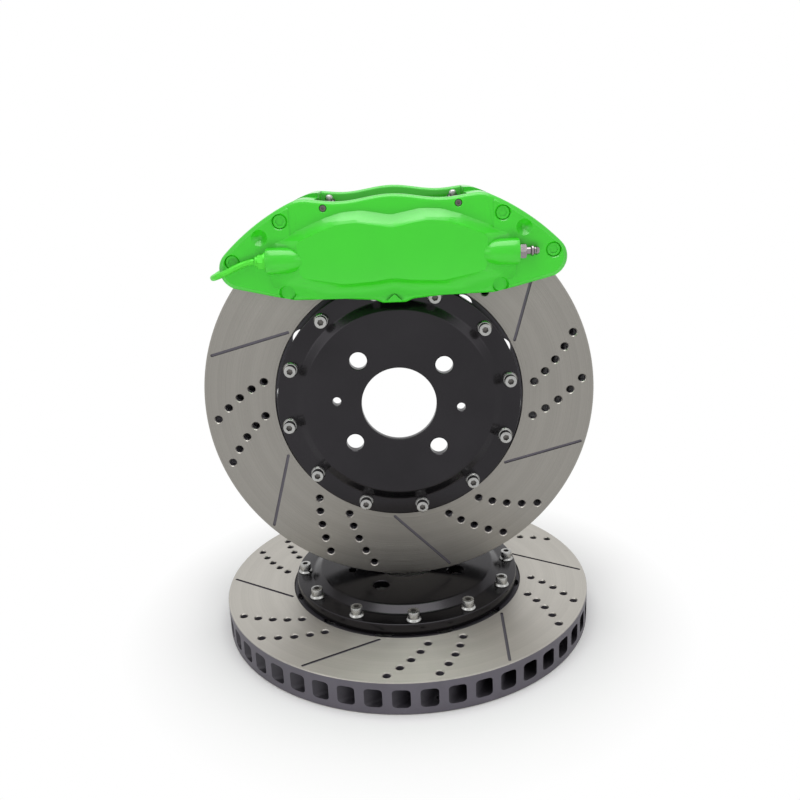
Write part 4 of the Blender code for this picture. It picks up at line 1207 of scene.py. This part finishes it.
def pipe_shape(sizes):
    """Crossover pipe swept along its route round the caliper's end."""
    front = [Vector(point) for point in PIPE_ROUTE]
    knots = front + [Vector((point.x, point.y, -point.z)) for point in reversed(front)]
    curve = bpy.data.curves.new("pipe_route", "CURVE")
    curve.dimensions = "3D"
    curve.bevel_depth = sizes.pipe
    curve.bevel_resolution = PIPE_FACETS
    curve.resolution_u = PIPE_STEPS
    curve.use_fill_caps = True
    spline = curve.splines.new("BEZIER")
    spline.bezier_points.add(len(knots) - 1)
    for point, knot in zip(spline.bezier_points, knots):
        point.co = knot
        point.handle_left_type = "AUTO"
        point.handle_right_type = "AUTO"
    item = bpy.data.objects.new("pipe_route", curve)
    bpy.context.scene.collection.objects.link(item)
    shape = evaluated(item)
    bmesh.ops.remove_doubles(shape, verts=shape.verts, dist=TINY)
    bmesh.ops.recalc_face_normals(shape, faces=shape.faces)
    return painted(shape, 0)


def arc_points(radius, half_width, steps):
    """Points of an arc about the axle, from left to right."""
    reach = asin(half_width / radius)
    return [polar(radius, pi / 2 + reach - 2 * reach * index / steps) for index in range(steps + 1)]


def backing_shape(sizes):
    """Pad backing plate with its pin ears and bevelled rim."""
    right_ear = []
    for index in range(EAR_STEPS + 1):
        x, y = polar(EAR_RADIUS, pi * index / EAR_STEPS)
        right_ear.append((PIN_PLACE[0] + x, PIN_PLACE[1] + y))
    left_ear = [(-x, y) for x, y in reversed(right_ear)]
    shoulder = PIN_PLACE[1] - EAR_SHOULDER
    outline = arc_points(PLATE_INNER_RADIUS, PLATE_HALF_LENGTH, PAD_STEPS)
    outline += [(PLATE_HALF_LENGTH, shoulder)] + right_ear
    outline += arc_points(PAD_OUTER_RADIUS, PIN_PLACE[0] - EAR_RADIUS, PLATE_TOP_STEPS)[::-1]
    outline += left_ear + [(-PLATE_HALF_LENGTH, shoulder)]
    shape = prism(outline, *PLATE_DEPTHS)
    rounded(shape, [edge for edge in shape.edges if climb(edge) < TINY], PLATE_BEVEL)
    return combined(shape, at_pins(rod(sizes.pin + SCREW_CLEARANCE, *EAR_HOLE, SMALL_HOLE_STEPS)))


def lining_shape():
    """Friction lining with bevelled ends and a groove across its middle."""
    outline = arc_points(LINING_INNER_RADIUS, LINING_HALF_LENGTH, PAD_STEPS)
    outline += arc_points(PAD_OUTER_RADIUS, LINING_HALF_LENGTH, PAD_STEPS)[::-1]
    shape = prism(outline, *LINING_DEPTHS)
    rounded(shape, at_height(shape.edges, LINING_DEPTHS[0]), LINING_BEVEL)
    half_width, low, high = GROOVE
    return combined(shape, prism(rectangle(-half_width, half_width, low, high), *GROOVE_DEPTHS))


# Operators

class BRAKE_OT_rings(bpy.types.Operator):
    """Build the vented friction rings of both discs"""

    bl_idname = "brake.rings"
    bl_label = "Friction rings"

    def execute(self, context):
        colours = context.scene.brake_colours
        shape = ring_shape(context.scene.brake_disc)
        for name, body, matrix, _bell, flat in DISCS:
            finishes = [turned_iron(colours, name + "_friction_face", flat),
                        coated_casting(colours, name + "_coated_rim", level=1.0),
                        cut_iron(colours, name + "_cut_iron"),
                        # A darker copy of the coat: painted shade in the vents, slot walls, ear gaps and
                        # ledge.
                        coated_casting(colours, name + "_vents_painted_shade", level=0.4)]
            piece(name + "_friction_ring", shape.copy(), matrix, body, [name + "_ring"],
                  finishes)
        shape.free()
        return {"FINISHED"}


class BRAKE_OT_bells(bpy.types.Operator):
    """Build the black bells of both discs"""

    bl_idname = "brake.bells"
    bl_label = "Bells"

    def execute(self, context):
        colours = context.scene.brake_colours
        shape = bell_shape(context.scene.brake_disc)
        for name, body, _ring, matrix, flat in DISCS:
            finish = anodised_bell(colours, name + "_anodised_bell", flat)
            piece(name + "_hub_bell", shape.copy(), matrix, body, [name + "_bell"],
                  [finish])
        shape.free()
        return {"FINISHED"}


class BRAKE_OT_bell_screws(bpy.types.Operator):
    """Build the cap screws that hold the bells"""

    bl_idname = "brake.bell_screws"
    bl_label = "Bell screws"

    def execute(self, context):
        colours = context.scene.brake_colours
        shape = around(screw_shape(context.scene.brake_disc), SCREW_COUNT)
        # The second finish is painted shade in the screws' sockets.
        finishes = [plated_steel("plated_screws", colours.screw, smoothest=0.18),
                    dark_painted_shade("screw_socket_shade")]
        for name, body, _ring, matrix, _flat in DISCS:
            nodes = ["%s_screw_%02d" % (name, index + 1) for index in range(SCREW_COUNT)]
            piece(name + "_bell_screws", shape.copy(), matrix, body, nodes, finishes)
        shape.free()
        return {"FINISHED"}


class BRAKE_OT_caliper_body(bpy.types.Operator):
    """Build both halves of the caliper body and the bolts that clamp them"""

    bl_idname = "brake.caliper_body"
    bl_label = "Caliper body"

    def execute(self, context):
        sizes = context.scene.brake_caliper
        finish = enamel(context.scene.brake_colours)
        for side, middle in (("outer", OUTER_SADDLE), ("inner", INNER_SADDLE)):
            piece("caliper_body_" + side, half_shape(sizes, middle, side == "inner"), SIDES[side], "caliper",
                  ["caliper_%s_half" % side], [finish])
        bolts = []
        nodes = []
        for end, side in (("left", -1), ("right", 1)):
            for level, angle in zip(("upper", "lower"), BOLT_ANGLES):
                bolts.append(moved(bolt_shape(sizes), bolt_place(side, angle, BOLT_CIRCLE)))
                nodes.append("bridge_bolt_%s_%s" % (end, level))
        piece("bridge_bolts", gathered(bolts), CALIPER_FRAME, "caliper", nodes, [finish])
        return {"FINISHED"}


class BRAKE_OT_fittings(bpy.types.Operator):
    """Build the bleed screws, unions, crossover pipe and pad pins"""

    bl_idname = "brake.fittings"
    bl_label = "Fittings"

    def execute(self, context):
        sizes = context.scene.brake_caliper
        colours = context.scene.brake_colours
        paint = bpy.data.materials["green_enamel"]
        steel = plated_steel("bright_fittings", colours.fitting, smoothest=0.16)
        bright = plated_steel("bright_clips", colours.screw, smoothest=0.25)
        # Painted shade in the bores and pin ends.
        dark = dark_painted_shade("fitting_bore_shade")
        end, height, depth = BOSS_PLACE
        for side, front in (("outer", 1), ("inner", -1)):
            bleed = moved(bleed_shape(sizes), (end, height, front * depth), pi / 2, "Y")
            piece("bleed_nipple_" + side, bleed, CALIPER_FRAME, "bleed_screw_" + side,
                  ["bleed_screw_" + side], [steel, dark])
            union = fitting_shape(sizes.hexagon, UNION_HEXAGON, UNION)
            union = moved(union, (-end, height, front * depth), -pi / 2, "Y")
            piece("union_nut_" + side, union, CALIPER_FRAME, "caliper",
                  ["pipe_union_" + side], [paint])
        piece("fluid_pipe", pipe_shape(sizes), CALIPER_FRAME, "caliper", ["crossover_pipe"],
              [paint])
        piece("pad_pins", at_pins(pin_shape(sizes)), CALIPER_FRAME, "caliper",
              ["pad_pin_left", "pad_pin_right"], [steel, dark])
        piece("pin_clips", at_pins(clip_shape(sizes)), CALIPER_FRAME, "caliper", [],
              [bright])
        return {"FINISHED"}


class BRAKE_OT_pads(bpy.types.Operator):
    """Build the pads and give the pistons, seals and boots their finishes"""

    bl_idname = "brake.pads"
    bl_label = "Pads and pistons"

    def execute(self, context):
        sizes = context.scene.brake_caliper
        black = powder_black("pad_plate_coat")
        compound = pad_compound("pad_compound")
        for side in ("outer", "inner"):
            piece("pad_backing_" + side, backing_shape(sizes), SIDES[side], "pad_" + side,
                  ["pad_plate_" + side], [black])
            piece("pad_friction_" + side, lining_shape(), SIDES[side], "pad_" + side,
                  ["pad_lining_" + side], [compound])
        finishes = {"piston_seal": moulded_rubber("seal_rubber"), "dust_boot": moulded_rubber("boot_rubber"),
                    "piston": plated_steel("ground_pistons", (0.70, 0.70, 0.68), smoothest=0.2)}
        for name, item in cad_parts.items():
            for start, finish in finishes.items():
                if name.startswith(start):
                    item.data.materials.clear()
                    item.data.materials.append(finish)
                    break
        return {"FINISHED"}


class BRAKE_OT_stage(bpy.types.Operator):
    """Set the pale floor, the white surroundings, the lamps and the camera"""

    bl_idname = "brake.stage"
    bl_label = "Stage"

    def execute(self, context):
        light = context.scene.brake_light
        self.floor(context)
        self.surroundings(context, light)
        self.lamp(context, "key_lamp", KEY_PLACE, KEY_SIZE, light.key)
        across, back, height = FILL_PLACE
        self.lamp(context, "left_lamp", (-across, back, height), FILL_SIZE, light.fill)
        self.lamp(context, "right_lamp", (across, back, height), FILL_SIZE, light.fill * RIGHT_SHARE)
        low = self.lamp(context, "low_lamp", LOW_PLACE, LOW_HEIGHT, light.low, LOW_TARGET, LOW_WIDTH)
        low.visible_glossy = False
        self.camera(context)
        context.scene.view_settings.view_transform = "Standard"
        return {"FINISHED"}

    def floor(self, context):
        """Pale floor that fades into the white surroundings."""
        shape = bmesh.new()
        bmesh.ops.create_circle(shape, cap_ends=True, segments=FLOOR_STEPS, radius=FLOOR_RADIUS)
        bmesh.ops.translate(shape, verts=shape.verts, vec=(0, 0, SPARE_LOW.z - SEAT_GAP))
        mesh = bpy.data.meshes.new("studio_floor")
        shape.to_mesh(mesh)
        shape.free()
        finish = Finish("studio_floor", Roughness=0.9, Base_Color=FLOOR_COLOUR)
        far = finish.ramp(finish.axle_radius(True), *FLOOR_FADE) * finish.seen()
        white = finish.add("ShaderNodeEmission", None, {"Color": WHITE, "Strength": 1.0})
        paint = Signal(finish, finish.shader.outputs[0])
        surface = finish.add("ShaderNodeMixShader", None, {0: far, 1: paint, 2: white})
        finish.connect(finish.tree.nodes["Material Output"].inputs["Surface"], surface)
        mesh.materials.append(finish.material)
        item = bpy.data.objects.new("studio_floor", mesh)
        context.scene.collection.objects.link(item)

    def surroundings(self, context, light):
        """White to the camera and in reflections, softer as light on the object."""
        world = bpy.data.worlds.new("studio_white")
        world.use_nodes = True
        graph = Graph(world.node_tree)
        background = world.node_tree.nodes["Background"]
        background.inputs["Color"].default_value = WHITE
        graph.connect(background.inputs["Strength"], graph.seen() * (1.0 - light.ambient) + light.ambient)
        context.scene.world = world

    def lamp(self, context, name, place, size, power, target=LAMP_TARGET, width=None):
        """Soft lamp aimed at the set, square unless it has a width of its own."""
        data = bpy.data.lights.new(name, "AREA")
        data.shape = "RECTANGLE"
        data.size = width or size
        data.size_y = size
        data.energy = power
        item = bpy.data.objects.new(name, data)
        item.location = place
        item.rotation_euler = (Vector(target) - Vector(place)).to_track_quat("-Z", "Y").to_euler()
        context.scene.collection.objects.link(item)
        return item

    def camera(self, context):
        """Camera at the photograph's viewing angle."""
        data = bpy.data.cameras.new("photo_camera")
        data.sensor_width = SENSOR_WIDTH
        data.lens = SENSOR_WIDTH * FOCAL_SHARE
        data.clip_start = 0.01
        item = bpy.data.objects.new("photo_camera", data)
        turn = Matrix.Rotation(CAMERA_PAN, 3, "Z") @ Matrix.Rotation(pi / 2 - CAMERA_DIP, 3, "X")
        item.rotation_euler = (turn @ Matrix.Rotation(CAMERA_ROLL, 3, "Z")).to_euler()
        item.location = CAMERA_PLACE
        context.scene.collection.objects.link(item)
        context.scene.camera = item


class BRAKE_PT_panel(bpy.types.Panel):
    """Sizes, colours and builders of the brake set"""

    bl_label = "Brake set"
    bl_idname = "BRAKE_PT_panel"
    bl_space_type = "VIEW_3D"
    bl_region_type = "UI"
    bl_category = "Brake"

    def draw(self, context):
        for group in GROUPS:
            settings = getattr(context.scene, group)
            box = self.layout.box()
            for name in settings.__annotations__:
                box.prop(settings, name)
        for operator in OPERATORS:
            self.layout.operator(operator.bl_idname)


GROUPS = {"brake_disc": DiscSizes, "brake_caliper": CaliperSizes, "brake_colours": FinishColours,
          "brake_light": StageLight}
OPERATORS = (BRAKE_OT_rings, BRAKE_OT_bells, BRAKE_OT_bell_screws, BRAKE_OT_caliper_body, BRAKE_OT_fittings,
             BRAKE_OT_pads, BRAKE_OT_stage)


def register():
    """Register the classes and hang the settings on the scene."""
    for item in (*GROUPS.values(), *OPERATORS, BRAKE_PT_panel):
        bpy.utils.register_class(item)
    for name, group in GROUPS.items():
        setattr(bpy.types.Scene, name, PointerProperty(type=group))


def unregister():
    """Take the settings and the classes away again."""
    for name in GROUPS:
        delattr(bpy.types.Scene, name)
    for item in reversed((*GROUPS.values(), *OPERATORS, BRAKE_PT_panel)):
        bpy.utils.unregister_class(item)


def main():
    """Build the set."""
    register()
    bpy.ops.brake.rings()
    bpy.ops.brake.bells()
    bpy.ops.brake.bell_screws()
    bpy.ops.brake.caliper_body()
    bpy.ops.brake.fittings()
    bpy.ops.brake.pads()
    bpy.ops.brake.stage()


if __name__ == "__main__":
    main()
